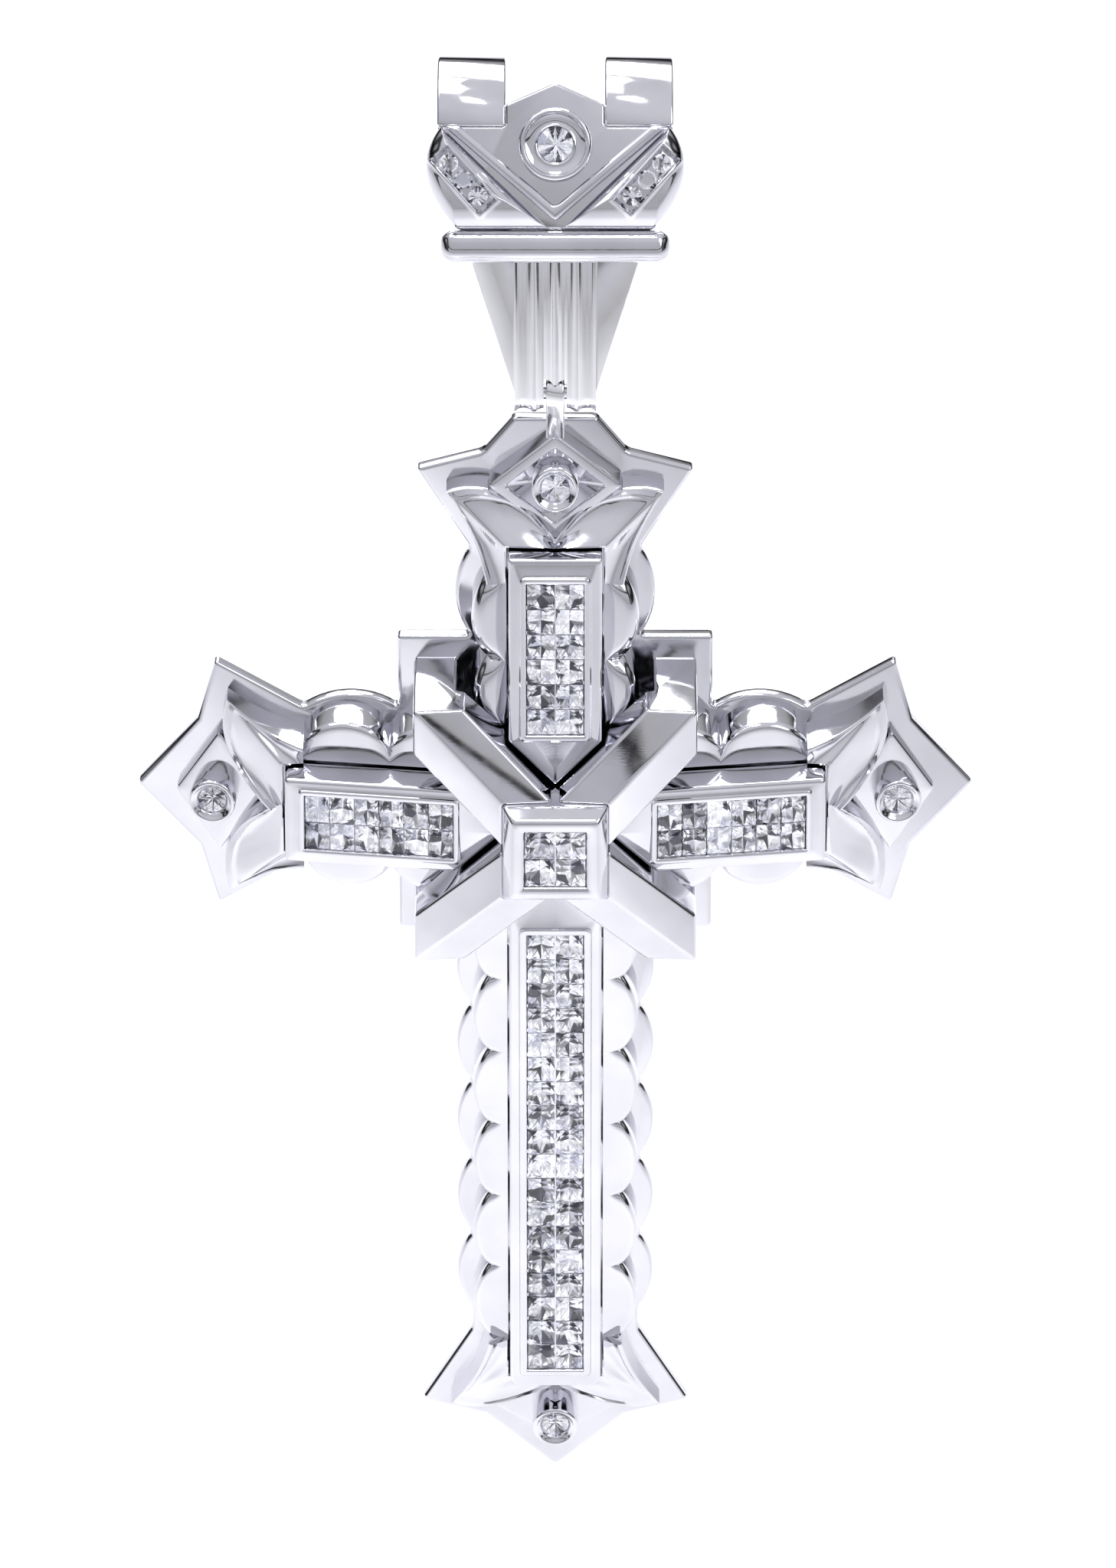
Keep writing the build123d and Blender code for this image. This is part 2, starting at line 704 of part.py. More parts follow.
strap_foot = -knuckle_radius  # back of the knuckle
strap_back = -shield_front
for name, side in (("left", 1), ("right", -1)):
    with BuildPart() as band:
        with BuildSketch(profile.offset(side * arm_inner)):
            with BuildLine():
                inner = shield_front - shield_thickness
                CenterArc((0, arm_centre_up), shield_front, 0, 180)
                CenterArc((0, arm_centre_up), inner, 0, 180)
                Line((shield_front, arm_centre_up), (inner, arm_centre_up))
                Line((-shield_front, arm_centre_up), (-inner, arm_centre_up))
            make_face()
        extrude(amount=side * (arm_outer - arm_inner))
    keep(f"bail_arm_{name}", band.part)

with BuildPart() as strap:
    with BuildSketch(profile):
        Polygon(
            (strap_foot + shield_thickness, 0),
            (strap_foot, 0),
            (strap_back, strap_join_up),
            (strap_back, arm_centre_up),
            (strap_back + shield_thickness, arm_centre_up),
            (strap_back + shield_thickness, strap_join_up),
            align=None,
        )
    extrude(amount=arm_outer, both=True)
    with BuildSketch(bail):
        Polygon(
            (-neck_bottom_half, 0),
            (-arm_outer, strap_join_up),
            (-arm_outer, arm_centre_up),
            (arm_outer, arm_centre_up),
            (arm_outer, strap_join_up),
            (neck_bottom_half, 0),
            align=None,
        )
        with Locations((0, strap_slot_bottom + strap_slot_length / 2)):
            SlotOverall(strap_slot_length + 2 * arm_inner, 2 * arm_inner, rotation=90, mode=Mode.SUBTRACT)
    extrude(amount=2 * shield_front, both=True, mode=Mode.INTERSECT)
    with BuildSketch(profile):
        Circle(knuckle_radius)
    extrude(amount=arm_outer, both=True, mode=Mode.SUBTRACT)
    with BuildSketch(profile):
        Circle(strap_room)
    extrude(amount=loop_thickness / 2 + knuckle_gap, both=True, mode=Mode.SUBTRACT)
keep("bail_back_strap", strap.part)

chevron_top = (arm_outer - chevron_margin, arm_centre_up)
with BuildPart() as chevron:
    with BuildSketch(bail.offset(shield_front)):
        Polygon(
            (-chevron_top[0], chevron_top[1]),
            (0, chevron_bottom_up),
            (chevron_top[0], chevron_top[1]),
            (chevron_top[0] - chevron_band, chevron_top[1]),
            (0, chevron_bottom_up + chevron_band),
            (-chevron_top[0] + chevron_band, chevron_top[1]),
            align=None,
        )
    extrude(amount=chevron_height)
keep("bail_chevron", chevron.part)

channel_run = Vector(*channel_end) - Vector(*channel_start)
channel_middle = (Vector(*channel_start) + Vector(*channel_end)) * 0.5
channel_angle = math.degrees(math.atan2(channel_run.Y, channel_run.X))
channel_length = side_stone_count * side_stone_pitch + 2 * channel_margin
channel_breadth = 2 * (side_stone_radius + channel_margin)
stone_level = bail.offset(shield_front + wing_height - side_stone_sink)
for name, side in (("left", -1), ("right", 1)):
    with BuildPart() as wing:
        with BuildSketch(bail.offset(shield_front)):
            with BuildLine():
                low = (side * wing_gap, moulding_top)
                high = (side * (chevron_top[0] + wing_lap), chevron_top[1])
                foot = (side * shield_bottom_half, moulding_top)
                Line(low, high)
                ThreePointArc(high, (side * wing_outer, wing_outer_up), foot)
                Line(foot, low)
            make_face()
        extrude(amount=wing_height)
        add(chevron.part, mode=Mode.SUBTRACT)
        with BuildSketch(bail.offset(shield_front + wing_height - channel_depth)):
            middle = (side * channel_middle.X, channel_middle.Y, 0)
            with Locations(Location(middle, (0, 0, side * channel_angle))):
                Rectangle(channel_length, channel_breadth)
        extrude(amount=wing_height, mode=Mode.SUBTRACT)
    keep(f"bail_wing_{name}", wing.part)

    row = []
    for i in range(side_stone_count):
        at = channel_middle + channel_run.normalized() * (i - (side_stone_count - 1) / 2) * side_stone_pitch
        origin = stone_level.from_local_coords(Vector(side * at.X, at.Y, 0))
        spot = Plane(origin=origin, x_dir=bail.x_dir, z_dir=bail.z_dir)
        row.append(round_stone(spot, side_stone_share * side_stone_radius))
    with BuildPart() as side_stones:
        for stone in row:
            add(stone)
    keep(f"bail_{name}_stones", side_stones.part)

bezel_at = Plane(
    origin=bail.from_local_coords(Vector(0, bail_bezel_up, shield_front)), x_dir=bail.x_dir, z_dir=bail.z_dir
)
with BuildPart() as bail_bezel:
    with BuildSketch(bezel_at):
        Circle(bail_bezel_radius)
        Circle(bail_bore_share * bail_stone_radius, mode=Mode.SUBTRACT)
    extrude(amount=bail_bezel_height)
    with BuildSketch(bezel_at.offset(bail_bezel_height)):
        Circle(bail_bezel_radius - bail_lip)
    extrude(amount=-bail_dish_depth, taper=bail_dish_lean, mode=Mode.SUBTRACT)
    with BuildSketch(bezel_at.offset(bail_bezel_height - bail_dish_depth)):
        Circle(bail_stone_radius + window_clearance)
    extrude(amount=bail_bezel_height, mode=Mode.SUBTRACT)
    with BuildSketch(bezel_at.offset(bail_bezel_height - bail_dish_depth)):
        Circle(bail_stone_radius + window_clearance)
    extrude(amount=-bail_seat_depth, taper=bezel_seat_lean, mode=Mode.SUBTRACT)
keep("bail_bezel", bail_bezel.part)
bail_girdle = bezel_at.offset(bail_bezel_height - bail_dish_depth + stone_lift)
keep("bail_bezel_stone", round_stone(bail_girdle, bail_stone_radius))

# ---------------------------------------------------------------- export
os.makedirs("parts", exist_ok=True)
for name, part in pieces.items():
    export_step(part, f"parts/{name}.step")
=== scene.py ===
# %% [markdown]
# A large cross pendant in polished white gold, built as a lesson in hard, bright surfaces.
#
# The measured model comes in first, as a fixed frame: every name, place and size below is read from it or
# agrees with it.  The looks are then put on it piece by piece: the faceted stones, the soft cast edges, the
# puffed arms and petals, and last the finish of the metal, which is almost all reflection.

import json

import bmesh
import bpy
import numpy as np
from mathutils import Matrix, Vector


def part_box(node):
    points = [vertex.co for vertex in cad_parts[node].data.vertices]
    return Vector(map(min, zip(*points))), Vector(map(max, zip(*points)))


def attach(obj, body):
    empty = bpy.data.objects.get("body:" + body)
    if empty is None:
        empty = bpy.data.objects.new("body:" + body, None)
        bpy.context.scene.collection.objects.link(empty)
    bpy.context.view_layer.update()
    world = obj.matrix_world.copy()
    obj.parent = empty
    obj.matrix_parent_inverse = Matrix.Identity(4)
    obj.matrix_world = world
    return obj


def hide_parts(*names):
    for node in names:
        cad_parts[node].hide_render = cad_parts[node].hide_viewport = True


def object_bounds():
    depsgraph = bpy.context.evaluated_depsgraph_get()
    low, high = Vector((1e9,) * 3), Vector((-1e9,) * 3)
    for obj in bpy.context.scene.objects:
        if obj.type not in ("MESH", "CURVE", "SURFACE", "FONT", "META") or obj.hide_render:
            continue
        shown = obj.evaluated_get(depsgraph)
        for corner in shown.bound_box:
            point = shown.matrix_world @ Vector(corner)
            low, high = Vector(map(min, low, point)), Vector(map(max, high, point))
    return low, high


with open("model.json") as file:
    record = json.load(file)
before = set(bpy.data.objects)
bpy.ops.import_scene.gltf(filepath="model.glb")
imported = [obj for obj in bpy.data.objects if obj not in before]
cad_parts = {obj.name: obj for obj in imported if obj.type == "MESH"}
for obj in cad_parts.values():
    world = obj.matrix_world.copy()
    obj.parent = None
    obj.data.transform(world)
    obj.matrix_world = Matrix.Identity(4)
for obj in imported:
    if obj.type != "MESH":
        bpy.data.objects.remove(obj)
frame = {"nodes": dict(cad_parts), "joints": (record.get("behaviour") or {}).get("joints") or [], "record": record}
nodes = frame["nodes"]
body_of = {n: b for b, ns in frame["record"]["behaviour"]["bodies"].items() for n in ns}
scene = bpy.context.scene
MM = 0.001


def corners(bounds):
    """The lowest and the highest corner of a box, as two rows of one array."""
    return np.array([list(corner) for corner in bounds], float)


cad_box = corners(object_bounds())
print("nodes", len(nodes), "size in mm", np.round((cad_box[1] - cad_box[0]) / MM, 1))

# %% [markdown]
# The pendant stands upright and is looked at from the front and from above, so that the tiers show their
# upper walls.  A long lens a good way off keeps the bars parallel, as it would in a jeweller's catalogue.
# The camera is aimed at a point by its azimuth and elevation, which is easier to think about than three
# angles.

# %% the camera
azimuth, elevation, distance = np.radians(0.0), np.radians(28.0), 0.7
flat = np.array([np.sin(azimuth), -np.cos(azimuth), 0.0])
back = np.cos(elevation) * flat + np.sin(elevation) * np.array([0.0, 0.0, 1.0])
right = np.array([np.cos(azimuth), np.sin(azimuth), 0.0])
up = np.cross(back, right)
aim = np.array([0.0, -0.00055, 0.0]) + 0.00018 * right - 0.00036 * up

camera = bpy.data.objects.new("camera", bpy.data.cameras.new("camera"))
scene.collection.objects.link(camera)
camera.data.lens, camera.data.sensor_width = 242.2, 36.0
camera.data.clip_start, camera.data.clip_end = 0.05, 20.0


def stand(directions, place):
    """The matrix that puts an object at place, with the three directions as its own axes."""
    turn = np.eye(4)
    turn[:3, :3], turn[:3, 3] = np.stack(directions, 1), place
    return turn.T.tolist()


camera.matrix_world = stand((right, up, back), aim + distance * back)
scene.camera = camera
print("camera", np.round(aim + distance * back, 4))

# %% [markdown]
# White metal has hardly any colour of its own: it shows the room.  So the room is the first material.  A
# white floor runs under the pendant and fills what its front faces mirror.  The sky is a ramp on the height
# of the direction: a narrow dark band above the horizon draws the black lines along rounded edges, and the
# rest is a pale lilac tent.  Two dark cards stand left and right of it, for the outlines.

# %% the room
def mesh_object(name, points, faces, smooth=True):
    """A mesh from an array of points and an array (or list) of faces, each a row of point numbers."""
    mesh = bpy.data.meshes.new(name)
    mesh.from_pydata(np.asarray(points, float).tolist(), [], [list(map(int, f)) for f in faces])
    mesh.polygons.foreach_set("use_smooth", np.full(len(mesh.polygons), smooth))
    mesh.update()
    made = bpy.data.objects.new(name, mesh)
    scene.collection.objects.link(made)
    return made


def ramp(tree, source, stops):
    """A colour ramp fed by source, with stops of (place, brightness or colour)."""
    node = tree.nodes.new("ShaderNodeValToRGB")
    bars = node.color_ramp.elements
    while len(bars) < len(stops):
        bars.new(0.5)
    for bar, (place, tone) in zip(bars, stops):
        bar.position = place
        bar.color = (*((tone,) * 3 if np.isscalar(tone) else tone), 1.0)
    tree.links.new(source, node.inputs["Fac"])
    return node.outputs["Color"]


world = bpy.data.worlds.new("studio")
world.use_nodes = True
scene.world = world
sky = world.node_tree
sky_background = sky.nodes["Background"]
direction = sky.nodes.new("ShaderNodeTexCoord")
split = sky.nodes.new("ShaderNodeSeparateXYZ")
sky.links.new(direction.outputs["Generated"], split.inputs[0])


def spread(tree, source, low, high):
    """Maps source from low..high to 0..1."""
    node = tree.nodes.new("ShaderNodeMapRange")
    node.inputs["From Min"].default_value, node.inputs["From Max"].default_value = low, high
    tree.links.new(source, node.inputs["Value"])
    return node.outputs["Result"]


def blend_colours(tree, first, second, share=None):
    """A Mix node on colours: the share of the second where share is given, their product where it isn't."""
    node = tree.nodes.new("ShaderNodeMix")
    node.data_type, node.blend_type = "RGBA", "MIX" if share else "MULTIPLY"
    node.inputs["Factor"].default_value = 1.0
    if share:
        tree.links.new(share, node.inputs["Factor"])
    tree.links.new(first, node.inputs[6])
    tree.links.new(second, node.inputs[7])
    return node.outputs[2]


level = spread(sky, split.outputs["Z"], -1.0, 1.0)
lilac, pale = (0.56, 0.56, 0.61), (0.72, 0.72, 0.76)
above = [(0.76, lilac), (0.9, pale)]
before_stops = [(0.0, 0.4), (0.49, 0.42), (0.58, lilac), (0.632, lilac)]
before_band = [(0.642, 0.03), (0.66, 0.03), (0.675, 0.5)]
before = ramp(sky, level, before_stops + before_band + above)
behind = ramp(sky, level, [(0.0, 0.4), (0.49, 0.02), (0.58, 0.02), (0.66, 0.42)] + above)
facing = spread(sky, split.outputs["Y"], -0.55, -0.25)
tent = blend_colours(sky, before, behind, facing)
sideways = sky.nodes.new("ShaderNodeMath")
sideways.operation = "ABSOLUTE"
sky.links.new(split.outputs["X"], sideways.inputs[0])
card_stops = [(0.0, 1.0), (0.8, 1.0), (0.84, 0.08), (0.89, 0.08), (0.93, 0.85)]
cards = ramp(sky, sideways.outputs[0], card_stops)
sky.links.new(blend_colours(sky, tent, cards), sky_background.inputs["Color"])

# %% [markdown]
# The floor is a sheet of white paper, a little below the lowest point.  The lights are soft and mostly
# behind and above, so that the paper behind the pendant is brightest.  One small lamp in front brightens
# the paper that the long arm mirrors, which is why that arm is nearly white and the upper half is lilac.

# %% the floor and the lights
drop, reach = 0.02, 6.0
floor_level = cad_box[0, 2] - drop
edge = reach * np.array([(-1, -1), (1, -1), (1, 1), (-1, 1)])
floor = mesh_object("floor", np.c_[edge, np.full(4, floor_level)], [(0, 1, 2, 3)])
paper = bpy.data.materials.new("floor_paper")
paper.use_nodes = True
sheet = paper.node_tree.nodes["Principled BSDF"]
sheet.inputs["Base Color"].default_value = (0.93, 0.93, 0.94, 1.0)
sheet.inputs["Roughness"].default_value = 0.9
floor.data.materials.append(paper)


def softbox(name, place, target, size, watts):
    """A square area light of the given size, aimed from place at target."""
    lamp = bpy.data.objects.new(name, bpy.data.lights.new(name, "AREA"))
    lamp.data.shape, lamp.data.size, lamp.data.energy = "SQUARE", size, watts
    away = np.array(place, float) - np.array(target, float)
    away /= np.linalg.norm(away)
    flat = np.cross((0.0, 1.0, 0.0), away)
    flat /= np.linalg.norm(flat)
    lamp.matrix_world = stand((flat, np.cross(away, flat), away), place)
    scene.collection.objects.link(lamp)


softbox("key_light", (-0.3, 0.1, 0.8), (0, 0, 0), 0.5, 1.3)
softbox("back_light", (0.0, 0.42, 0.42), (0, 0.2, floor_level), 0.4, 2.6)
softbox("fill_light", (0.5, -0.35, 0.5), (0, 0, 0), 0.35, 0.6)
glow = bpy.data.objects.new("front_glow", bpy.data.lights.new("front_glow", "SPOT"))
glow.data.energy, glow.data.shadow_soft_size = 1.7, 0.03
glow.data.spot_size, glow.data.spot_blend = np.radians(44.0), 1.0
glow.location = (0.0, -0.08, 0.25)
scene.collection.objects.link(glow)
scene.view_settings.view_transform = "Standard"
print("floor at", round(floor_level / MM, 1), "mm")

# %% [markdown]
# The metal: cast, filed, then polished by hand on a wheel.  The wheel leaves the surface mirror bright but
# never quite flat, so reflections swim a little.  A low, slow noise in the bump gives that swim, a faster
# one varies the roughness where the wheel reached less well, and a very fine one is the haze of old wipe
# marks.

# %% the white gold
def noise(tree, coordinates, scale, detail=2.0, stretch=None):
    """A noise texture on the given coordinates, in features per metre, stretched by a Mapping if asked."""
    if stretch:
        mapping = tree.nodes.new("ShaderNodeMapping")
        mapping.inputs["Scale"].default_value = stretch
        tree.links.new(coordinates, mapping.inputs["Vector"])
        coordinates = mapping.outputs["Vector"]
    node = tree.nodes.new("ShaderNodeTexNoise")
    node.inputs["Scale"].default_value = scale
    node.inputs["Detail"].default_value = detail
    tree.links.new(coordinates, node.inputs["Vector"])
    return node.outputs["Fac"]


def bumped(tree, height, distance, under=None):
    """A bump of the given depth in metres, laid over another bump's normal if there is one."""
    node = tree.nodes.new("ShaderNodeBump")
    node.inputs["Distance"].default_value = distance
    tree.links.new(height, node.inputs["Height"])
    if under is not None:
        tree.links.new(under, node.inputs["Normal"])
    return node.outputs["Normal"]


def white_gold(name, swim=0.000012, shine=(0.05, 0.13), tone=(0.76, 0.76, 0.805)):
    """Polished white gold: swim is the depth of the slow waves, shine the range of roughness."""
    material = bpy.data.materials.new(name)
    material.use_nodes = True
    tree = material.node_tree
    shader = tree.nodes["Principled BSDF"]
    shader.inputs["Metallic"].default_value = 1.0
    place = tree.nodes.new("ShaderNodeTexCoord").outputs["Object"]
    dusk = tuple(0.93 * c for c in tone)
    tree.links.new(
        ramp(tree, noise(tree, place, 260.0, 3.0), [(0.35, dusk), (0.6, tone)]), shader.inputs["Base Color"]
    )
    haze = tree.nodes.new("ShaderNodeMapRange")
    haze.inputs["From Min"].default_value, haze.inputs["From Max"].default_value = 0.3, 0.75
    haze.inputs["To Min"].default_value, haze.inputs["To Max"].default_value = shine
    tree.links.new(noise(tree, place, 900.0, 4.0), haze.inputs["Value"])
    tree.links.new(haze.outputs["Result"], shader.inputs["Roughness"])
    waves = bumped(tree, noise(tree, place, 330.0, 1.0), swim)
    wipes = bumped(tree, noise(tree, place, 2600.0, 2.0, (1.0, 1.0, 6.0)), 0.0000006, waves)
    tree.links.new(wipes, shader.inputs["Normal"])
    return material


# %% [markdown]
# Four finishes come out of that one function.  Most pieces are polished.  The bars and collars are lapped
# flat, so they swim less.  The neck is a little softer, and its paler tone is a painted highlight, lighter
# than the rest as if strong light fell on it; the back plate is a little darker.

# %% the four finishes
gold = white_gold("polished_white_gold")
flat_gold = white_gold("flat_lapped_white_gold", swim=0.000004, shine=(0.04, 0.09))
# painted highlight: the paler tone given to the neck and the hanging loop
satin_painted_highlight_gold = white_gold(
    "satin_white_gold", swim=0.000004, shine=(0.1, 0.16), tone=(0.96, 0.96, 0.975)
)
plate_gold = white_gold(
    "plate_white_gold", swim=0.000006, shine=(0.08, 0.16), tone=(0.73, 0.73, 0.775)
)

# %% [markdown]
# Diamond is clear and bends light more than anything else in a jeweller's drawer, and a well cut stone
# throws back from below nearly all the light that enters above.  So the crown is clear and the pavilion is
# a mirror, which is what total reflection makes of it.  Its colour is a painted reflection: each pavilion
# facet gets a tone, bright or dark, drawn from seeded chance, for what it would catch in the room, and the
# mirror reads it.  A faint painted glow in the same tone stands for the light that has bounced too often
# inside the stone to be followed.

# %% the diamond
diamond = bpy.data.materials.new("diamond")
diamond.use_nodes = True
tree = diamond.node_tree
cut = tree.nodes["Principled BSDF"]
cut.inputs["Transmission Weight"].default_value = 1.0
cut.inputs["IOR"].default_value = 1.85
cut.inputs["Roughness"].default_value = 0.0
where = tree.nodes.new("ShaderNodeTexCoord").outputs["Object"]
tints = [(0.3, (0.95, 0.96, 1.0)), (0.7, (1.0, 1.0, 1.0))]
tree.links.new(ramp(tree, noise(tree, where, 420.0), tints), cut.inputs["Base Color"])

pavilion_mirror = bpy.data.materials.new("diamond_pavilion")
pavilion_mirror.use_nodes = True
tree = pavilion_mirror.node_tree
mirror = tree.nodes["Principled BSDF"]
mirror.inputs["Metallic"].default_value = 1.0
mirror.inputs["Roughness"].default_value = 0.16
# the tone of each facet's painted reflection, stored on the stones' mesh
tone = tree.nodes.new("ShaderNodeAttribute")
tone.attribute_name = "facet_tone"
painted_dark_facets = [(0.0, (0.01, 0.01, 0.03)), (0.2, (0.05, 0.05, 0.08))]
painted_bright_facets = [(0.22, (0.5, 0.51, 0.6)), (0.55, (0.98, 0.98, 1.0))]
painted_facet_colour = ramp(tree, tone.outputs["Fac"], painted_dark_facets + painted_bright_facets)
tree.links.new(painted_facet_colour, mirror.inputs["Base Color"])
# painted glow: the pavilion glows faintly in the same tone, though it is no lamp
tree.links.new(painted_facet_colour, mirror.inputs["Emission Color"])
mirror.inputs["Emission Strength"].default_value = 0.22
cut_stone = (diamond, pavilion_mirror)


# %% [markdown]
# Every piece is finished the same way: it gets its material, it rides with the part of the frame that it
# belongs to, and it says which measured node it stands for, so that the node is hidden.

# %% finishing a piece
def finish(piece, material, *stands_for, body=None, slot="white_gold"):
    """Gives a piece its material, ties it to its body and hides the nodes it stands for; slot is not used."""
    for layer in material if isinstance(material, tuple) else (material,):
        piece.data.materials.append(layer)
    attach(piece, body or body_of[stands_for[0]])
    if stands_for:
        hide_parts(*stands_for)
    return piece


# %% [markdown]
# The four arms are the same idea turned round the crossing, so each is drawn in its own frame: across the
# arm, along it from the crossing, and up from the flat back.  The sizes repeat the measured model's, in
# millimetres.

# %% the arms' frames
OUT = np.array([0.0, -1.0, 0.0])


class Arm:
    """One arm: its directions, and the sizes in millimetres that differ from arm to arm."""

    def __init__(self, name, across, along, root, body, bar_end, fall, stones, tip):
        self.name = name
        self.across, self.along = np.array(across, float), np.array(along, float)
        self.root, self.bar_end, self.fall = root, bar_end, fall  # fall: how far a face sinks per millimetre
        self.body_first, self.lobes, self.pitch, self.bulge = body
        self.rows, self.stone_along, self.stone_across, self.window_start = stones
        self.tip_height, self.tip_half_length, self.bezel_height = tip
        self.body_end = self.body_first + self.lobes * self.pitch

    def at(self, across, along, height):
        """Points in metres in the row frame, from arrays in millimetres in the arm's frame."""
        across, along, height = (a[..., None] for a in np.broadcast_arrays(across, along, height))
        return MM * (across * self.across + along * self.along + height * OUT)

    def slope(self, along, height, fall):
        """The origin in millimetres and the three directions of a face that falls outwards by fall."""
        down = self.along - fall * OUT
        down = down / np.linalg.norm(down)
        return along * self.along + height * OUT, self.across, down, np.cross(self.across, down)


side_sizes = (16.6, (5.2, 2, 5.7, 1.6), 17.8, 0.138, (6, 1.64, 1.96, 6.75), (2.3, 2.9, 1.7))
top_sizes = (17.4, (5.2, 2, 5.7, 1.0), 19.2, 0.12, (6, 1.74, 1.86, 7.2), (3.3, 3.5, 1.7))
bottom_sizes = (42.0, (7.0, 6, 5.7, 1.0), 43.6, 0.045, (18, 1.91, 1.86, 7.8), (2.0, 2.9, 2.3))
arms = [
    Arm("top", (1, 0, 0), (0, 0, 1), *top_sizes),
    Arm("left", (0, 0, 1), (-1, 0, 0), *side_sizes),
    Arm("right", (0, 0, -1), (1, 0, 0), *side_sizes),
    Arm("bottom", (-1, 0, 0), (0, 0, -1), *bottom_sizes),
]
shoulder, deck_height, bar_rise, stone_sink = 6.6, 5.4, 2.8, 0.22
print("arms end at", {arm.name: arm.body_end for arm in arms})

# %% [markdown]
# A princess-cut stone is square.  Its crown is a table with three facets to a side; its pavilion is cut in
# chevrons, which are fans of triangles from the middle of each side to the ridge that runs from corner to
# culet.  One stone is a few dozen triangles, and a whole bar of them is that stone carried to every seat at
# once.

# %% the princess cut
quarter = np.array([[0.0, -1.0], [1.0, 0.0]])


def princess_cut():
    """Points and triangles of a stone one wide, girdle at height 0: one side, turned four times."""
    side = np.array(
        [
            [0.34, 0.34, 0.085],  # 0 table corner
            [0.5, 0.5, 0.0],  # 1 girdle corner, upper edge
            [0.5, 0.0, 0.0],  # 2 girdle middle, upper edge
            [0.5, 0.5, -0.025],  # 3 girdle corner, lower edge
            [0.5, 0.0, -0.025],  # 4 girdle middle, lower edge
            [0.335, 0.335, -0.29],  # 5 first chevron on the ridge
            [0.17, 0.17, -0.47],  # 6 second chevron
        ]
    )
    turned = []
    for k in range(4):
        rotation = np.linalg.matrix_power(quarter, k)
        turned.append(np.c_[side[:, :2] @ rotation.T, side[:, 2]])
    points = np.vstack(turned + [np.array([[0.0, 0.0, -0.57], [0.0, 0.0, 0.085]])])
    culet, table = 28, 29
    faces = []
    for k in range(4):
        a, p = 7 * k, 7 * ((k + 3) % 4)  # this corner, and the one before it round this side
        faces += [(p, a, table), (p, a + 2, a), (p, p + 1, a + 2), (a + 2, a + 1, a)]
        faces += [(p + 1, p + 3, a + 4), (p + 1, a + 4, a + 2), (a + 2, a + 4, a + 3), (a + 2, a + 3, a + 1)]
        faces += [(p + 3, p + 5, a + 4), (p + 5, p + 6, a + 4), (p + 6, culet, a + 4)]
        faces += [(a + 4, a + 5, a + 3), (a + 4, a + 6, a + 5), (a + 4, culet, a + 6)]
    return points, np.array(faces)


def outward(points, faces):
    """The same triangles of a convex solid, each turned round if it faces its middle."""
    a, b, c = (points[faces[:, i]] for i in range(3))
    inward = np.einsum("ij,ij->i", np.cross(b - a, c - a), (a + b + c) / 3 - points.mean(0)) < 0
    faces[inward] = faces[inward][:, ::-1]
    return faces


def set_stones(name, cut, seats, x_dir, y_dir, normal, size, seed):
    """Carries one cut stone to every seat, with a hair of tilt each, as hand setting leaves it."""
    points, faces = cut
    chance = np.random.default_rng(seed)
    tilt = chance.normal(0.0, 0.012, (len(seats), 2))
    x, y, n = (np.tile(d, (len(seats), 1)) for d in (x_dir, y_dir, normal))
    n = n + tilt[:, :1] * x_dir + tilt[:, 1:] * y_dir
    n /= np.linalg.norm(n, axis=1)[:, None]
    x = x - np.einsum("ij,ij->i", x, n)[:, None] * n
    x /= np.linalg.norm(x, axis=1)[:, None]
    y = np.cross(n, x)
    sx, sy, sz = size
    placed = (
        seats[:, None, :]
        + sx * points[None, :, 0, None] * x[:, None, :]
        + sy * points[None, :, 1, None] * y[:, None, :]
        + sz * points[None, :, 2, None] * n[:, None, :]
    )
    count = len(points) * np.arange(len(seats))
    numbered = (faces[None] + count[:, None, None]).reshape(-1, 3)
    made = mesh_object(name, MM * placed.reshape(-1, 3), numbered, smooth=False)
    below = points[faces][:, :, 2].max(1) < -0.02
    made.data.polygons.foreach_set("material_index", np.tile(below, len(seats)).astype(np.int32))
    # a painted reflection tone for every facet, from seeded chance
    painted_tones = made.data.attributes.new("facet_tone", "FLOAT", "FACE")
    painted_tones.data.foreach_set("value", chance.random(len(made.data.polygons)).astype(np.float32))
    return made


princess = princess_cut()
princess = (princess[0], outward(*princess))
print("princess cut:", len(princess[1]), "facets")

# %% [markdown]
# The seats of a bar lie in two files down its sloping face.  A little less than the seat's size leaves the
# dark hairline between neighbours that makes a channel of stones read as separate stones.

# %% the bars' stones
stone_gap = 0.07
for number, arm in enumerate(arms):
    origin, across, down, normal = arm.slope(shoulder, deck_height + bar_rise, arm.fall)
    files = (np.arange(2) - 0.5) * arm.stone_across
    places = arm.window_start - shoulder + (np.arange(arm.rows) + 0.5) * arm.stone_along
    grid_x, grid_y = (g.ravel()[:, None] for g in np.meshgrid(files, places))
    seats = origin + grid_x * across + grid_y * down - stone_sink * normal
    size = (arm.stone_across - stone_gap, arm.stone_along - stone_gap, arm.stone_along)
    name = f"{arm.name}_princess_stones"
    stones = set_stones(name, princess, seats, across, down, normal, size, 10 + number)
    finish(stones, cut_stone, f"{arm.name}_bar_stones", slot="diamond")
    low, high = corners(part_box(f"{arm.name}_bar_stones"))
    print(arm.name, "stones", len(seats), "size", np.round((high - low) / MM, 1))

block_height, centre_stone = 12.1, 2.0
spots = (np.arange(2) - 0.5) * centre_stone
grid_x, grid_z = (g.ravel()[:, None] for g in np.meshgrid(spots, spots))
seats = grid_x * [1.0, 0, 0] + grid_z * [0, 0, 1.0] + (block_height - stone_sink) * OUT
size = (centre_stone - stone_gap, centre_stone - stone_gap, centre_stone)
x_dir, z_dir = np.array([1.0, 0, 0]), np.array([0, 0, 1.0])
stones = set_stones("centre_princess_stones", princess, seats, x_dir, z_dir, OUT, size, 3)
finish(stones, cut_stone, "centre_stones", slot="diamond")

# %% [markdown]
# The round stones are brilliants: eight-fold, with a star, kites and girdle facets above, and long mains
# and lower halves below.  Rings of points at 8 or 16 steps are joined facet by facet.

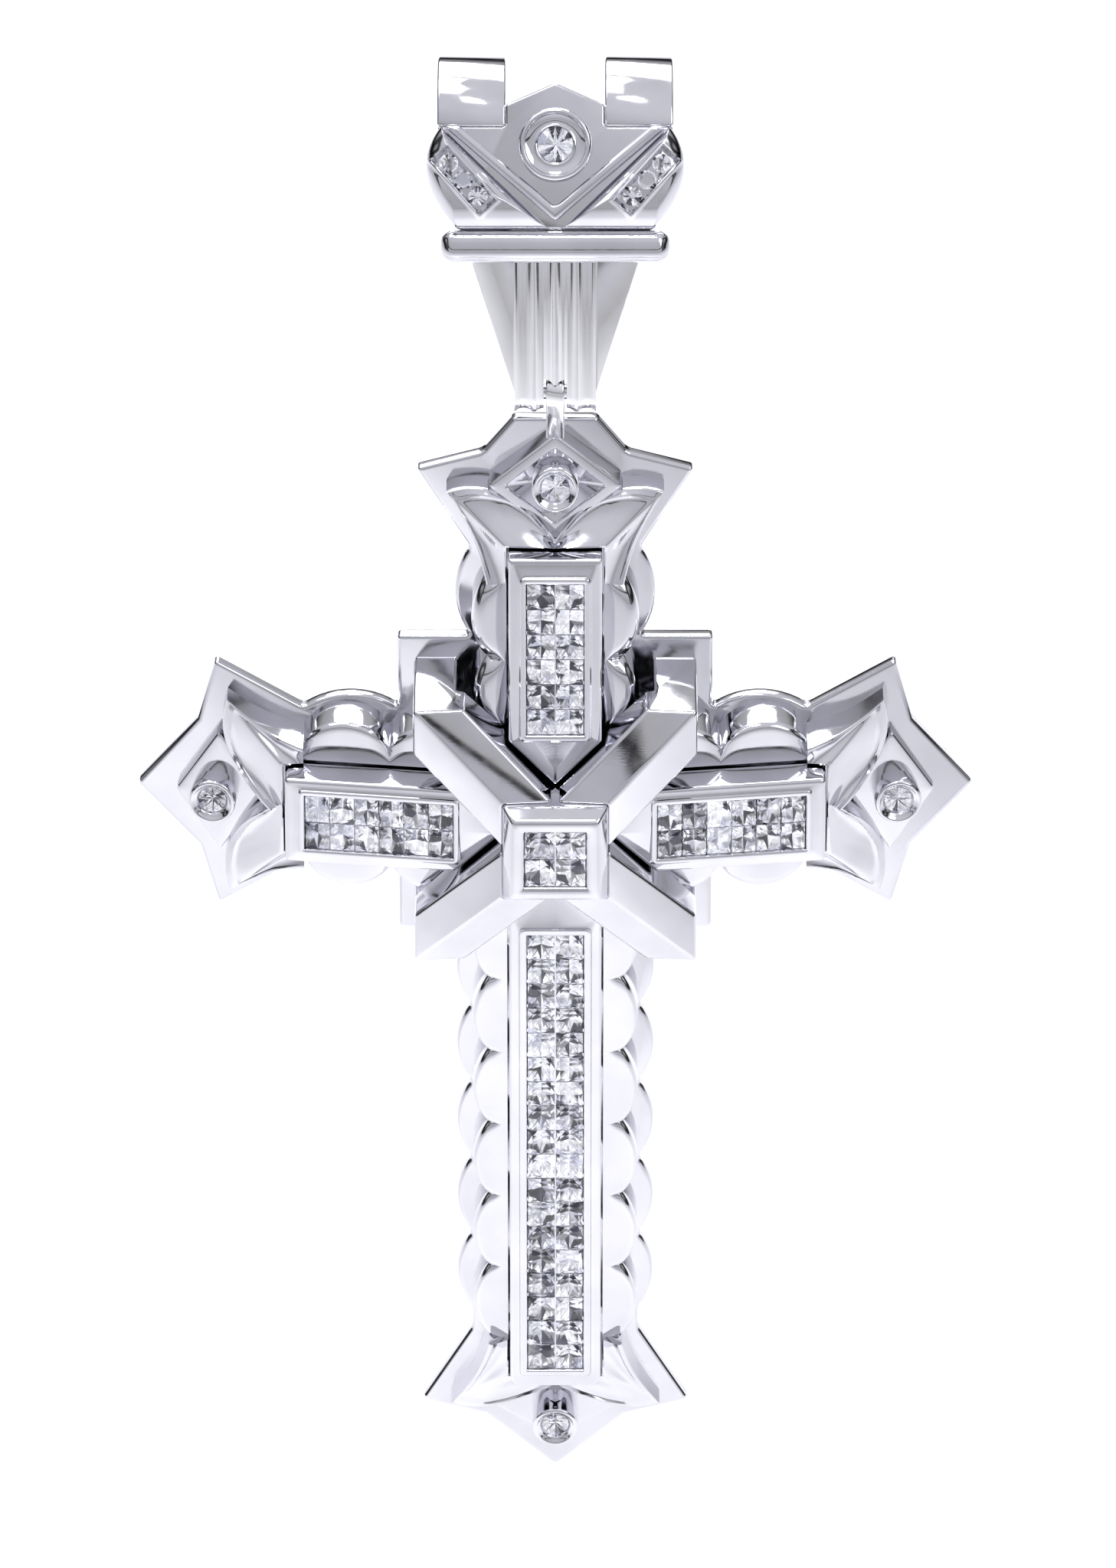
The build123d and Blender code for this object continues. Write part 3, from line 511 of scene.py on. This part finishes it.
# %% the brilliant cut
def ring(count, radius, height, shift=0.0):
    """Points on a circle, count of them, turned by shift steps."""
    turn = 2 * np.pi * (np.arange(count) + shift) / count
    return np.c_[radius * np.cos(turn), radius * np.sin(turn), np.full(count, height)]


def brilliant_cut():
    """Points and triangles of a brilliant of radius 1: table, mid ring, girdle rings, lower ring, culet."""
    points = np.vstack(
        [
            ring(8, 0.58, 0.27),
            ring(8, 0.80, 0.155, 0.5),
            ring(16, 1.0, 0.0),
            ring(16, 1.0, -0.04),
            ring(8, 0.28, -0.64, 0.5),
            [[0, 0, -0.82], [0, 0, 0.27]],
        ]
    )
    i = np.arange(8)
    j = (i + 1) % 8
    t, m, g, l, w = i, 8 + i, 16 + 2 * i, 32 + 2 * i, 48 + i
    g1, g2 = g + 1, 16 + (2 * i + 2) % 16
    l1, l2 = l + 1, 32 + (2 * i + 2) % 16
    culet, table = np.full(8, 56), np.full(8, 57)
    before = 8 + (i + 7) % 8
    w_before = 48 + (i + 7) % 8
    rows = [(t, j, table), (t, j, m), (t, m, g), (t, before, g), (m, g, g1), (m, g1, g2)]
    rows += [(g, g1, l), (g1, l1, l), (g1, g2, l1), (g2, l2, l1)]
    rows += [(l, l1, w), (l1, l2, w), (l, w, culet), (l, w_before, culet)]
    return points, np.vstack([np.stack(r, 1) for r in rows])


brilliant = brilliant_cut()
brilliant = (brilliant[0], outward(*brilliant))
print("brilliant cut:", len(brilliant[1]), "facets")

# %% [markdown]
# The bail leans back from the pin, so it has a frame of its own: across, forwards and up its face.

# %% the bail's frame
lean = np.radians(28.0)
pin = np.array(frame["joints"][0]["pos_m"]) / MM
bail_front = np.array([0.0, -np.cos(lean), np.sin(lean)])
bail_up = np.array([0.0, np.sin(lean), np.cos(lean)])
SIDE = np.array([1.0, 0.0, 0.0])


def bail_at(across, forward, height):
    """Points in metres from arrays in millimetres in the bail's own frame, with the pin at its origin."""
    across, forward, height = (a[..., None] for a in np.broadcast_arrays(across, forward, height))
    return MM * (pin + across * SIDE + forward * bail_front + height * bail_up)


shield_front, wing_height = 4.8, 1.5
bezel_out, bezel_radius, bezel_stone = 5.9, 1.55, 0.92
tip_middle, tip_fall = 5.6, 0.12


def bezel_seat(arm):
    """Where an arm's bezel stands on its tip plate: the seat's middle and the plate's three directions."""
    height = arm.tip_height - tip_fall * (bezel_out - tip_middle)
    return arm.slope(arm.root + bezel_out, height, tip_fall)


for number, arm in enumerate(arms):
    origin, across, down, normal = bezel_seat(arm)
    girdle = origin + (arm.bezel_height - 0.45) * normal
    size = (bezel_stone,) * 3
    name = f"{arm.name}_round_stone"
    stone = set_stones(name, brilliant, girdle[None], across, down, normal, size, 30 + number)
    finish(stone, cut_stone, f"{arm.name}_bezel_stone", slot="diamond")

bail_bezel_up, bail_bezel_height, bail_stone = 15.66, 1.3, 1.15
girdle = bail_at(0.0, shield_front + bail_bezel_height - 0.39, bail_bezel_up) / MM
size = (bail_stone,) * 3
stone = set_stones("bail_round_stone", brilliant, girdle[None], SIDE, bail_up, bail_front, size, 40)
finish(stone, cut_stone, "bail_bezel_stone", slot="diamond")

channel_start, channel_end = np.array([4.45, 11.75]), np.array([7.35, 15.0])
channel_way = (channel_end - channel_start) / np.linalg.norm(channel_end - channel_start)
wing_stone, stone_step, girdle_depth = 0.62, 1.42, 0.3
for sign, name in ((-1, "left"), (1, "right")):
    steps = (np.arange(3) - 1.0)[:, None] * stone_step
    spots = (channel_start + channel_end) / 2 + steps * channel_way
    girdles = bail_at(sign * spots[:, 0], shield_front + wing_height - girdle_depth, spots[:, 1]) / MM
    size = (wing_stone,) * 3
    label = f"bail_{name}_round_stones"
    stones = set_stones(label, brilliant, girdles, SIDE, bail_up, bail_front, size, 50 + sign)
    finish(stones, cut_stone, f"bail_{name}_stones", slot="diamond")

# %% [markdown]
# Most of the flat-sided pieces are right as measured, but no cast and polished edge is razor sharp.  Each
# is copied, its loose triangles are merged and its flat faces joined, and a Bevel modifier rolls the edges
# over.  The narrow bright line along every edge is what tells the eye that this is metal.

# %% soft edges
def merged_copy(node, name):
    """A copy of a node's mesh with its doubled points merged and its coplanar triangles joined."""
    mesh = bpy.data.meshes.new(name)
    work = bmesh.new()
    work.from_mesh(nodes[node].data)
    bmesh.ops.remove_doubles(work, verts=work.verts, dist=1e-6)
    bmesh.ops.dissolve_limit(work, angle_limit=np.radians(1.0), verts=work.verts, edges=work.edges)
    work.to_mesh(mesh)
    work.free()
    mesh.polygons.foreach_set("use_smooth", np.full(len(mesh.polygons), True))
    made = bpy.data.objects.new(name, mesh)
    scene.collection.objects.link(made)
    return made


def softened(node, width, material, segments=3, angle=28.0):
    """The node's shape with every edge sharper than angle rolled over, width in millimetres."""
    piece = merged_copy(node, f"{node}_polished")
    roll = piece.modifiers.new("rolled_edge", "BEVEL")
    roll.width, roll.segments = width * MM, segments
    roll.limit_method, roll.angle_limit = "ANGLE", np.radians(angle)
    roll.miter_outer = "MITER_ARC"
    roll.harden_normals = True
    return finish(piece, material, node)


widths = {
    "back_plate": 0.3,
    "core_block": 0.3,
    "ray_upper_left": 0.24,
    "ray_upper_right": 0.24,
    "ray_lower_left": 0.24,
    "ray_lower_right": 0.24,
    "bail_shield": 0.2,
    "bail_arm_left": 0.15,
    "bail_arm_right": 0.15,
    "bail_back_strap": 0.15,
    "bail_chevron": 0.3,
    "bail_neck": 0.06,
    "hanging_loop": 0.12,
    "hinge_pin": 0.08,
}
other_gold = {"bail_neck": satin_painted_highlight_gold, "hanging_loop": satin_painted_highlight_gold, "back_plate": plate_gold}
for node, width in widths.items():
    softened(node, width, other_gold.get(node, gold))
for node in [f"{arm.name}_bar_rails" for arm in arms] + ["centre_rails"]:
    nodes[node].data.materials.clear()
    nodes[node].data.materials.append(gold)
print("softened", len(widths), "pieces")

# %% [markdown]
# The other pieces are drawn as surfaces.  A surface here is a grid of points: each row is one closed ring,
# and the next row is the same ring a little further on.  Two helpers cover every piece: one turns a grid
# into a closed mesh, the other rounds the corners of an outline so that all outlines have equally many
# points.

# %% grids and outlines
def skin(name, grid, loop=False, sharp=38.0):
    """A mesh on a grid (rows, columns, 3) whose rows are closed rings; loop joins the last row to the first.

    Without loop the two end rows get one flat face each.  Edges sharper than the given angle stay crisp.
    """
    rows, columns = grid.shape[:2]
    index = np.arange(rows * columns).reshape(rows, columns)
    ahead = np.roll(index, -1, 0) if loop else index[1:]
    here = index if loop else index[:-1]
    cells = np.stack([here, np.roll(here, -1, 1), np.roll(ahead, -1, 1), ahead], -1)
    faces = cells.reshape(-1, 4).tolist()
    if not loop:
        faces += [index[0].tolist(), index[-1, ::-1].tolist()]
    made = mesh_object(name, grid.reshape(-1, 3), faces)
    work = bmesh.new()
    work.from_mesh(made.data)
    bmesh.ops.remove_doubles(work, verts=work.verts, dist=1e-7)
    bmesh.ops.recalc_face_normals(work, faces=work.faces)
    work.to_mesh(made.data)
    work.free()
    made.data.set_sharp_from_angle(angle=np.radians(sharp))
    return made


def rounded(outline, radius, steps=6):
    """An outline of corners with each corner eased by a parabola that starts and ends radius away from it."""
    outline = np.asarray(outline, float)
    before, after = np.roll(outline, 1, 0) - outline, np.roll(outline, -1, 0) - outline
    radius = np.broadcast_to(np.asarray(radius, float), len(outline))[:, None]
    enter = outline + before / np.linalg.norm(before, axis=1, keepdims=True) * radius
    leave = outline + after / np.linalg.norm(after, axis=1, keepdims=True) * radius
    t = np.linspace(0.0, 1.0, steps)[None, :, None]
    eased = (1 - t) ** 2 * enter[:, None] + 2 * t * (1 - t) * outline[:, None] + t**2 * leave[:, None]
    return eased.reshape(-1, 2)


def quarter_round(radius, steps=5):
    """Pairs (inset, drop) of a rolled edge, from its wall up to its top: both follow a quarter circle."""
    turn = np.linspace(0.0, np.pi / 2, steps)
    return np.c_[radius * (1 - np.cos(turn)), radius * (1 - np.sin(turn))]


# %% [markdown]
# A bar is a frame for the stones: an upright wall, a rolled edge, a flat border, and a raised lip that is
# pushed against the stones.  All of those are the same outline at different insets and levels, so the frame
# is a stack of closed outlines, joined one to the next and the last back to the first.

# %% the bars
bar_half, bar_seat, slot_gap, clearance = 3.05, 3.5, 0.15, 0.03


def arrow_outline(arm, grow=0.0):
    """The bar's outline seen from the front: square outer end, arrow point towards the crossing."""
    half, point = bar_half + grow, shoulder - bar_half - grow * np.sqrt(2)
    far = arm.bar_end + grow
    return [(-half, far), (-half, point + half), (0.0, point), (half, point + half), (half, far)]


def window_outline(arm, grow):
    """The stones' rectangle, grown, along the sloping deck, with a spare point for the arrow."""
    half = arm.stone_across + clearance + grow
    low = arm.window_start - shoulder - clearance - grow
    high = low + arm.rows * arm.stone_along + 2 * (clearance + grow)
    return [(-half, high), (-half, low), (0.0, low), (half, low), (half, high)]


def bar_frame(arm, lip_height, lip_width, end_round):
    """Stacks the outlines of a bar: wall, rolled edge, border, lip, window wall and back to the start."""
    cosine = 1 / np.sqrt(1 + arm.fall**2)
    sine = arm.fall * cosine
    face = deck_height + bar_rise
    corners_round = np.array([end_round, 0.12, 0.12, 0.12, end_round])

    def upright(grow, drop=None):
        xy = rounded(arrow_outline(arm, grow), corners_round)
        level = bar_seat if drop is None else face - arm.fall * (xy[:, 1] - shoulder) - lip_height - drop
        return arm.at(xy[:, 0], xy[:, 1], level)

    def on_face(grow, depth, corner):
        xy = rounded(window_outline(arm, grow), [corner, corner, 0.1, corner, corner])
        along = shoulder + xy[:, 1] * cosine - depth * sine
        return arm.at(xy[:, 0], along, face - xy[:, 1] * sine - depth * cosine)

    rows = [upright(0.0)] + [upright(-inset, drop) for inset, drop in quarter_round(0.26)]
    rows.append(on_face(lip_width + 0.1, lip_height, 0.42))
    rows.append(on_face(lip_width + 0.02, lip_height - 0.05, 0.4))
    rows += [on_face(lip_width - inset, drop, 0.36) for inset, drop in quarter_round(min(0.14, lip_height))]
    rows.append(on_face(0.1, 0.0, 0.1))
    rows.append(on_face(0.03, 0.05, 0.05))
    rows += [on_face(0.0, depth, 0.02) for depth in (0.12, 1.9, face - bar_seat - 1.75)]
    return finish(skin(f"{arm.name}_bar", np.stack(rows), loop=True), flat_gold, f"{arm.name}_bar_frame")


side_lip = (0.2, 0.4, 0.3)
lips = {"top": (0.24, 0.42, 0.15), "left": side_lip, "right": side_lip, "bottom": (0.16, 0.5, 0.75)}
for arm in arms:
    bar_frame(arm, *lips[arm.name])
print("bars:", {arm.name: round(arm.bar_end - shoulder, 1) for arm in arms})

# %% [markdown]
# The centre block is the same stack on a square: up the wall, over a soft shoulder to the top, and down the
# window.  Each step of the stack is (half width, level, rounding of the corners).

# %% the centre block
block_half, ray_underside = 3.45, 5.7
wall_and_shoulder = [
    (block_half, ray_underside, 0.3), (block_half, 10.8, 0.3), (3.42, 11.0, 0.3), (3.34, 11.2, 0.3),
    (2.98, 11.82, 0.32), (2.88, 11.98, 0.34), (2.74, 12.08, 0.36),
]
top_and_window = [
    (2.6, block_height, 0.36), (2.34, block_height, 0.2), (2.26, 12.08, 0.16), (2.14, 12.04, 0.1),
    (2.06, 11.98, 0.06), (2.03, 11.88, 0.02), (2.03, 9.9, 0.02), (2.03, ray_underside, 0.02),
]
square = np.array([(-1.0, 1.0), (-1.0, -1.0), (1.0, -1.0), (1.0, 1.0)])
rows = []
for half, level, corner in wall_and_shoulder + top_and_window:
    xz = rounded(half * square, corner)
    rows.append(MM * np.c_[xz[:, 0], np.full(len(xz), -level), xz[:, 1]])
finish(skin("centre_setting", np.stack(rows), loop=True), flat_gold, "centre_block")

# %% [markdown]
# The arm bodies are the scalloped blocks beside the bars.  Each half is one grid: stations run along the
# arm, and at every station the ring goes up the slot's wall, across the deck, over the rolled edge and down
# to the plate.  The deck's width follows circular arcs, and it sinks into a crease where two lobes meet,
# like a cushion's seam.

# %% the arm bodies
plate_top, body_start, notch_half = 1.1, 5.0, 4.5
seam_width, sink_width, far_away = 0.55, 0.5, 9.0


def lobed_half(arm, along):
    """Half width of an arm body: circle arcs that leave the notch line by the arm's bulge."""
    span, bulge = arm.pitch, arm.bulge
    radius = (span**2 / 4 + bulge**2) / (2 * bulge)
    place = np.mod(along - arm.body_first, span) - span / 2
    arc = bulge - radius + np.sqrt(radius**2 - place**2)
    return notch_half + np.where(along > arm.body_first, arc, 0.0)


def arm_body_half(arm, side, edge, crease, sink):
    """One side of an arm body.

    Across the deck t runs from 0 at the slot to 1 at the edge.  The level is the sloping deck, less the
    crease, which dies away with the distance to the nearest notch and grows as t squared, less the sink
    beside the bar, which dies away with the distance from the slot, less the edge's quarter circle.
    """
    stations = np.linspace(body_start, arm.body_first, 3)[:-1]
    turn = 0.5 - 0.5 * np.cos(np.linspace(0.0, np.pi, 27))
    for lobe in range(arm.lobes):
        low = arm.body_first + lobe * arm.pitch
        stations = np.r_[stations, low + arm.pitch * turn[:-1]]
    stations = np.r_[stations, arm.body_end]
    half = lobed_half(arm, np.clip(stations, body_start, arm.body_end - 1e-6))
    slot = np.clip(stations - shoulder + bar_half + slot_gap * np.sqrt(2), 0.05, bar_half + slot_gap)
    reach = half - edge - slot
    t = np.linspace(0.0, 1.0, 14)
    across = slot[:, None] + reach[:, None] * t
    notch = np.abs(np.mod(stations - arm.body_first + arm.pitch / 2, arm.pitch) - arm.pitch / 2)
    notch = np.where(stations < arm.body_first + 0.3 * arm.pitch, far_away, notch)
    notch = np.where(stations > arm.body_end - 0.3 * arm.pitch, arm.body_end - stations, notch)
    seam = crease * np.exp(-notch / seam_width)[:, None]
    deck = deck_height - arm.fall * (stations - shoulder)[:, None]
    level = deck - seam * t**2 - sink * np.exp(-(across - slot[:, None]) / sink_width)
    bend = quarter_round(edge, 6)[::-1][1:]
    last = level[:, -1:]
    across = np.hstack([slot[:, None], across, half[:, None] - bend[:, 0], half[:, None], slot[:, None]])
    bottom = np.full_like(last, plate_top)
    level = np.hstack([bottom + bar_seat - plate_top, level, last - bend[:, 1], bottom, bottom])
    return arm.at(side * across, stations[:, None], level)


def join(name, parts):
    """Several mesh objects as one, with their points and faces put one after another."""
    work = bmesh.new()
    for part in parts:
        work.from_mesh(part.data)
        spent = part.data
        bpy.data.objects.remove(part)
        bpy.data.meshes.remove(spent)
    mesh = bpy.data.meshes.new(name)
    work.to_mesh(mesh)
    work.free()
    made = bpy.data.objects.new(name, mesh)
    scene.collection.objects.link(made)
    return made


side_cushion = (0.5, 0.25, 0.1)
cushions = {"top": (0.8, 0.4, 0.35), "left": side_cushion, "right": side_cushion, "bottom": (0.42, 0.2, 0.0)}
for arm in arms:
    halves = [skin(f"half_{side}", arm_body_half(arm, side, *cushions[arm.name])) for side in (-1, 1)]
    body = join(f"{arm.name}_scalloped_body", halves)
    finish(body, gold, f"{arm.name}_arm_body")
    print(arm.name, "body faces", len(body.data.polygons))

# %% [markdown]
# Petal caps close each arm: two leaves that hug the bar's end, run out to a point each and meet in a V.
# The grid is ruled between two paths, one round the bar and one along the leaf's outer edge.  A raised rim
# follows the outer edge, the leaf is scooped behind it, and a fold runs from the bar's corner to the
# point.  The scoop, the rim and the level at the bar differ from arm to arm.

# %% the petal caps
def path(corners_xy, count):
    """Points evenly spaced along the straight runs of a path, count to a run."""
    corners_xy = np.asarray(corners_xy, float)
    t = np.linspace(0.0, 1.0, count, endpoint=False)[:, None]
    runs = [a + (b - a) * t for a, b in zip(corners_xy[:-1], corners_xy[1:])]
    return np.vstack(runs + [corners_xy[-1:]])


petal_point, petal_meet, petal_control = (7.1, 5.0), (0.0, 2.4), (3.4, 6.3)  # across, and past the arm's root
root_level, point_level, meet_rise = 4.9, 3.0, 0.9
petal_edge, rim_place, rim_width = 0.22, 0.93, 0.05


def petal_cap(arm, scoop, rim, bar_height):
    """Both leaves in one grid, from one root over the middle V to the other root.

    Level = a straight line from the bar side to the outer edge, minus scoop times a half sine across the
    leaf, plus rim times a narrow bell near the outer edge; the last columns are the rolled edge and the wall.
    """
    inner_half = bar_half + slot_gap
    far = arm.bar_end + slot_gap
    root = np.array([0.0, arm.root])
    point, meet, control = (root + place for place in (petal_point, petal_meet, petal_control))
    steps = 18
    inner = path([(inner_half, arm.body_end), (inner_half, far), (0.0, far)], steps)
    flank = path([(notch_half, arm.body_end), point], steps)[:-1]
    bow = np.sin(np.pi * np.linspace(0, 1, steps, endpoint=False))[:, None]
    flank = flank - bow * np.array([0.35, -0.1])
    t = np.linspace(0.0, 1.0, steps + 1)[:, None]
    curve = (1 - t) ** 2 * point + 2 * t * (1 - t) * control + t**2 * meet
    outer = np.vstack([flank, curve])
    along_share = np.clip((outer[:, 1] - arm.body_end) / (point[1] - arm.body_end), 0, 1)
    outer_level = root_level - (root_level - point_level) * along_share
    outer_level = outer_level + meet_rise * np.exp(-((outer[:, 0] / 1.6) ** 2))
    inner_level = bar_height - 0.5 * np.linspace(1, 0, len(inner)) ** 2
    v = np.r_[0.0, 0.04, np.linspace(0.1, 0.8, 9), 0.84, 0.88, 0.92, 0.96, 1.0]
    inward = inner - outer
    inward /= np.linalg.norm(inward, axis=1, keepdims=True)
    top = inner[:, None] * (1 - v)[None, :, None] + (outer + petal_edge * inward)[:, None] * v[None, :, None]
    level = inner_level[:, None] * (1 - v) + outer_level[:, None] * v
    tip_fade = np.clip(np.linalg.norm(outer - point, axis=1) / 2.5, 0.25, 1)
    tip_fade[: steps - 1] *= np.linspace(0.0, 1.0, steps - 1)
    tip_fade = tip_fade[:, None]
    bell = np.exp(-(((v - rim_place) / rim_width) ** 2))
    level = level - scoop * tip_fade * np.sin(np.pi * v) ** 1.3 + rim * bell * tip_fade
    level[:, 0] -= 0.12
    bend = quarter_round(petal_edge, 5)[::-1][1:]
    rolled = outer[:, None] + bend[None, :, :1] * inward[:, None]
    grid_xy = np.concatenate([inner[:, None], top, rolled, outer[:, None], inner[:, None]], axis=1)
    low = np.full((len(outer), 1), plate_top)
    levels = np.hstack([low + 2.0, level, outer_level[:, None] - bend[:, 1], low, low])
    right_half = arm.at(grid_xy[..., 0], grid_xy[..., 1], levels)
    left_half = arm.at(-grid_xy[..., 0], grid_xy[..., 1], levels)
    grid = np.concatenate([right_half, left_half[::-1][1:]])
    return finish(skin(f"{arm.name}_petals", grid, sharp=50.0), gold, f"{arm.name}_petal_cap")


side_leaf = (0.32, 0.2, 5.0)
leaves = {"top": (0.35, 0.22, 5.15), "left": side_leaf, "right": side_leaf, "bottom": (0.3, 0.2, 4.7)}
for arm in arms:
    petal_cap(arm, *leaves[arm.name])

# %% [markdown]
# The tip plates are squares on their corners.  The top one is a shallow inverted pyramid inside a flat rim,
# and the other three are flat with a rolled edge.  Again a stack of outlines does it, this time of nested
# diamonds.

# %% the tip plates
def tip_plate(arm, stack):
    """Nested diamonds: each row of the stack is (inset of the edge, level above the plate's face)."""
    wide, long = 4.4, arm.tip_half_length
    slant = np.hypot(wide, long)
    centre, rows = arm.root + tip_middle, []
    for inset, level in stack:
        w, h = max(wide - inset * slant / long, 0.01), max(long - inset * slant / wide, 0.01)
        corner = min(0.25, 0.3 * w)
        xy = rounded([(0, -h), (w, 0), (0, h), (-w, 0)], corner)
        height = plate_top if level is None else arm.tip_height + level - tip_fall * xy[:, 1]
        rows.append(arm.at(xy[:, 0], centre + xy[:, 1], height))
    piece = skin(f"{arm.name}_diamond_plate", np.stack(rows), sharp=20.0)
    return finish(piece, gold, f"{arm.name}_tip_plate")


rolled = [(inset, -drop) for inset, drop in quarter_round(0.2)]
dish = [(0.62, 0.0), (0.68, -0.04), (0.74, -0.14), (1.6, -0.62), (2.3, -1.0), (2.6, -1.05)]
domed = [(0.5, 0.015), (1.2, 0.03), (2.0, 0.03)]
for arm in arms:
    tip_plate(arm, [(0.0, None)] + rolled + (dish if arm.name == "top" else domed))

# %% [markdown]
# Bezels are turned pieces: a profile carried round an axis.  A thin lip is burnished over the stone's edge,
# and a dished ring inside it throws light on the stone.

# %% the bezels
def turned(name, profile, origin, x_dir, y_dir, axis, count=72):
    """A closed profile of (radius, height) carried round an axis through origin, all in millimetres."""
    turn = 2 * np.pi * np.arange(count) / count
    radius, height = np.asarray(profile, float).T
    spoke = np.cos(turn)[:, None] * x_dir + np.sin(turn)[:, None] * y_dir
    grid = origin + radius[None, :, None] * spoke[:, None, :] + height[None, :, None] * axis
    return skin(name, MM * grid, loop=True)


for arm in arms:
    origin, across, down, normal = bezel_seat(arm)
    top = arm.bezel_height
    foot = -1.1 if arm.name == "top" else -0.2
    wall = [(bezel_radius, foot), (bezel_radius, top - 0.2), (1.53, top - 0.1)]
    lip = [(1.47, top - 0.03), (1.38, top), (1.3, top - 0.03), (1.24, top - 0.1)]
    dished = [(1.1, top - 0.2), (1.0, top - 0.26), (0.95, top - 0.36), (0.93, top - 0.5)]
    bore = [(0.64, top - 0.85), (0.64, foot)]
    collar = turned(f"{arm.name}_collar", wall + lip + dished + bore, origin, across, down, normal)
    finish(collar, flat_gold, f"{arm.name}_bezel")

wall = [(2.37, -0.1), (2.37, 1.0), (2.35, 1.12), (2.29, 1.22)]
lip = [(2.2, 1.28), (2.1, 1.3), (2.02, 1.27), (1.97, 1.16)]
dished = [(1.93, 1.08), (1.7, 0.98), (1.45, 0.93), (1.32, 0.95)]
inner_lip = [(1.24, 1.0), (1.19, 0.98), (1.17, 0.9), (1.16, 0.75)]
profile = wall + lip + dished + inner_lip + [(0.6, 0.2), (0.6, -0.1)]
origin = bail_at(0.0, shield_front, bail_bezel_up) / MM
collar = turned("bail_collar", profile, origin, SIDE, bail_up, bail_front, 96)
finish(collar, flat_gold, "bail_bezel")

# %% [markdown]
# The moulding is a rounded bar across the bail, with a fine bead along its upper edge.  Its section is a
# squarish oval with a groove pressed in, carried along the bar and drawn together to a round end.

# %% the moulding
low, high = corners(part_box("bail_moulding"))
half_length = (high[0] - low[0]) / 2 / MM
half_depth, half_height, squareness = 1.2, 1.05, 0.72
front_face, lower_edge = 5.2, 8.15
turn = np.linspace(0, 2 * np.pi, 96, endpoint=False)
oval = np.c_[np.cos(turn), np.sin(turn)]
oval = np.sign(oval) * np.abs(oval) ** squareness
groove = 0.1 * np.exp(-(((turn - 0.95) / 0.09) ** 2)) + 0.05 * np.exp(-(((turn - 5.5) / 0.1) ** 2))
section = oval * (1.0 - groove)[:, None] * [half_depth, half_height]
reach = np.sin(np.linspace(-np.pi / 2, np.pi / 2, 41))
end_round = 0.95
inner = half_length - end_round
x = np.r_[-inner + end_round * reach[:20], np.linspace(-inner, inner, 25), inner + end_round * reach[21:]]
shrink = np.sqrt(np.clip(1 - (np.clip(np.abs(x) - inner, 0, None) / end_round) ** 2, 0.0004, 1))
forward = front_face - half_depth + section[None, :, 0] * shrink[:, None]
height = lower_edge + half_height + section[None, :, 1] * shrink[:, None]
moulding = skin("bail_bead_moulding", bail_at(x[:, None], forward, height))
finish(moulding, gold, "bail_moulding")

# %% [markdown]
# The wings flank the bail's bezel.  Each is a plump leaf, ruled between the V band and its bowed outer
# edge, with a channel for three stones let into it.  Its level rises from every edge like a quarter circle,
# and the channel is a drop that depends only on the distance to a slanted rectangle.

# %% the wings
wing_low, wing_high = np.array([0.35, 10.25]), np.array([7.35, 16.9])
wing_foot, wing_bulge, wing_roll = np.array([6.3, 10.25]), np.array([9.75, 13.9]), 0.75
channel_half_length, channel_half_width, channel_depth = 2.3, 0.66, 0.5


def wing(side, name):
    """One wing as a grid from its foot to its upper point, closed with a wall and a flat back.

    Level = the wing's height times a quarter circle of the distance to the edge, a little less near the edge
    than in the middle; minus the channel's depth inside the slanted rectangle, plus a narrow bell outside it.
    """
    u = np.linspace(0.0, 1.0, 110)[:, None]
    v = np.linspace(0.0, 1.0, 90)[None, :]
    inner = wing_low + (wing_high - wing_low) * u
    outer = (1 - u) ** 2 * wing_foot + 2 * u * (1 - u) * wing_bulge + u**2 * wing_high
    xy = inner[:, None] * (1 - v)[..., None] + outer[:, None] * v[..., None]
    span = np.linalg.norm(outer - inner, axis=1)[:, None]
    edge = np.minimum(np.minimum(v, 1 - v) * span * 0.95, u * 4.0)
    share = np.clip(edge / wing_roll, 0, 1)
    level = wing_height * np.sqrt(1 - (1 - share) ** 2) * (0.55 + 0.45 * np.minimum(edge / 1.6, 1))
    middle = (channel_start + channel_end) / 2
    away = xy - middle
    lengthwise = np.abs(away @ channel_way) - channel_half_length
    crosswise = np.abs(away @ np.array([-channel_way[1], channel_way[0]])) - channel_half_width
    gap = np.maximum(lengthwise, crosswise)
    drop = channel_depth * np.clip(0.5 - gap / 0.12, 0, 1)
    level = level - drop + 0.07 * np.exp(-(((gap - 0.16) / 0.12) ** 2))
    top = bail_at(side * xy[..., 0], shield_front + level, xy[..., 1])
    back = bail_at(side * xy[..., 0], shield_front - 0.05, xy[..., 1])
    grid = np.concatenate([top, back[:, ::-1]], axis=1)
    return finish(skin(f"bail_{name}_leaf", grid, sharp=60.0), gold, f"bail_wing_{name}")


for side, name in ((-1, "left"), (1, "right")):
    leaf = wing(side, name)
    print(leaf.name, "faces", len(leaf.data.polygons))
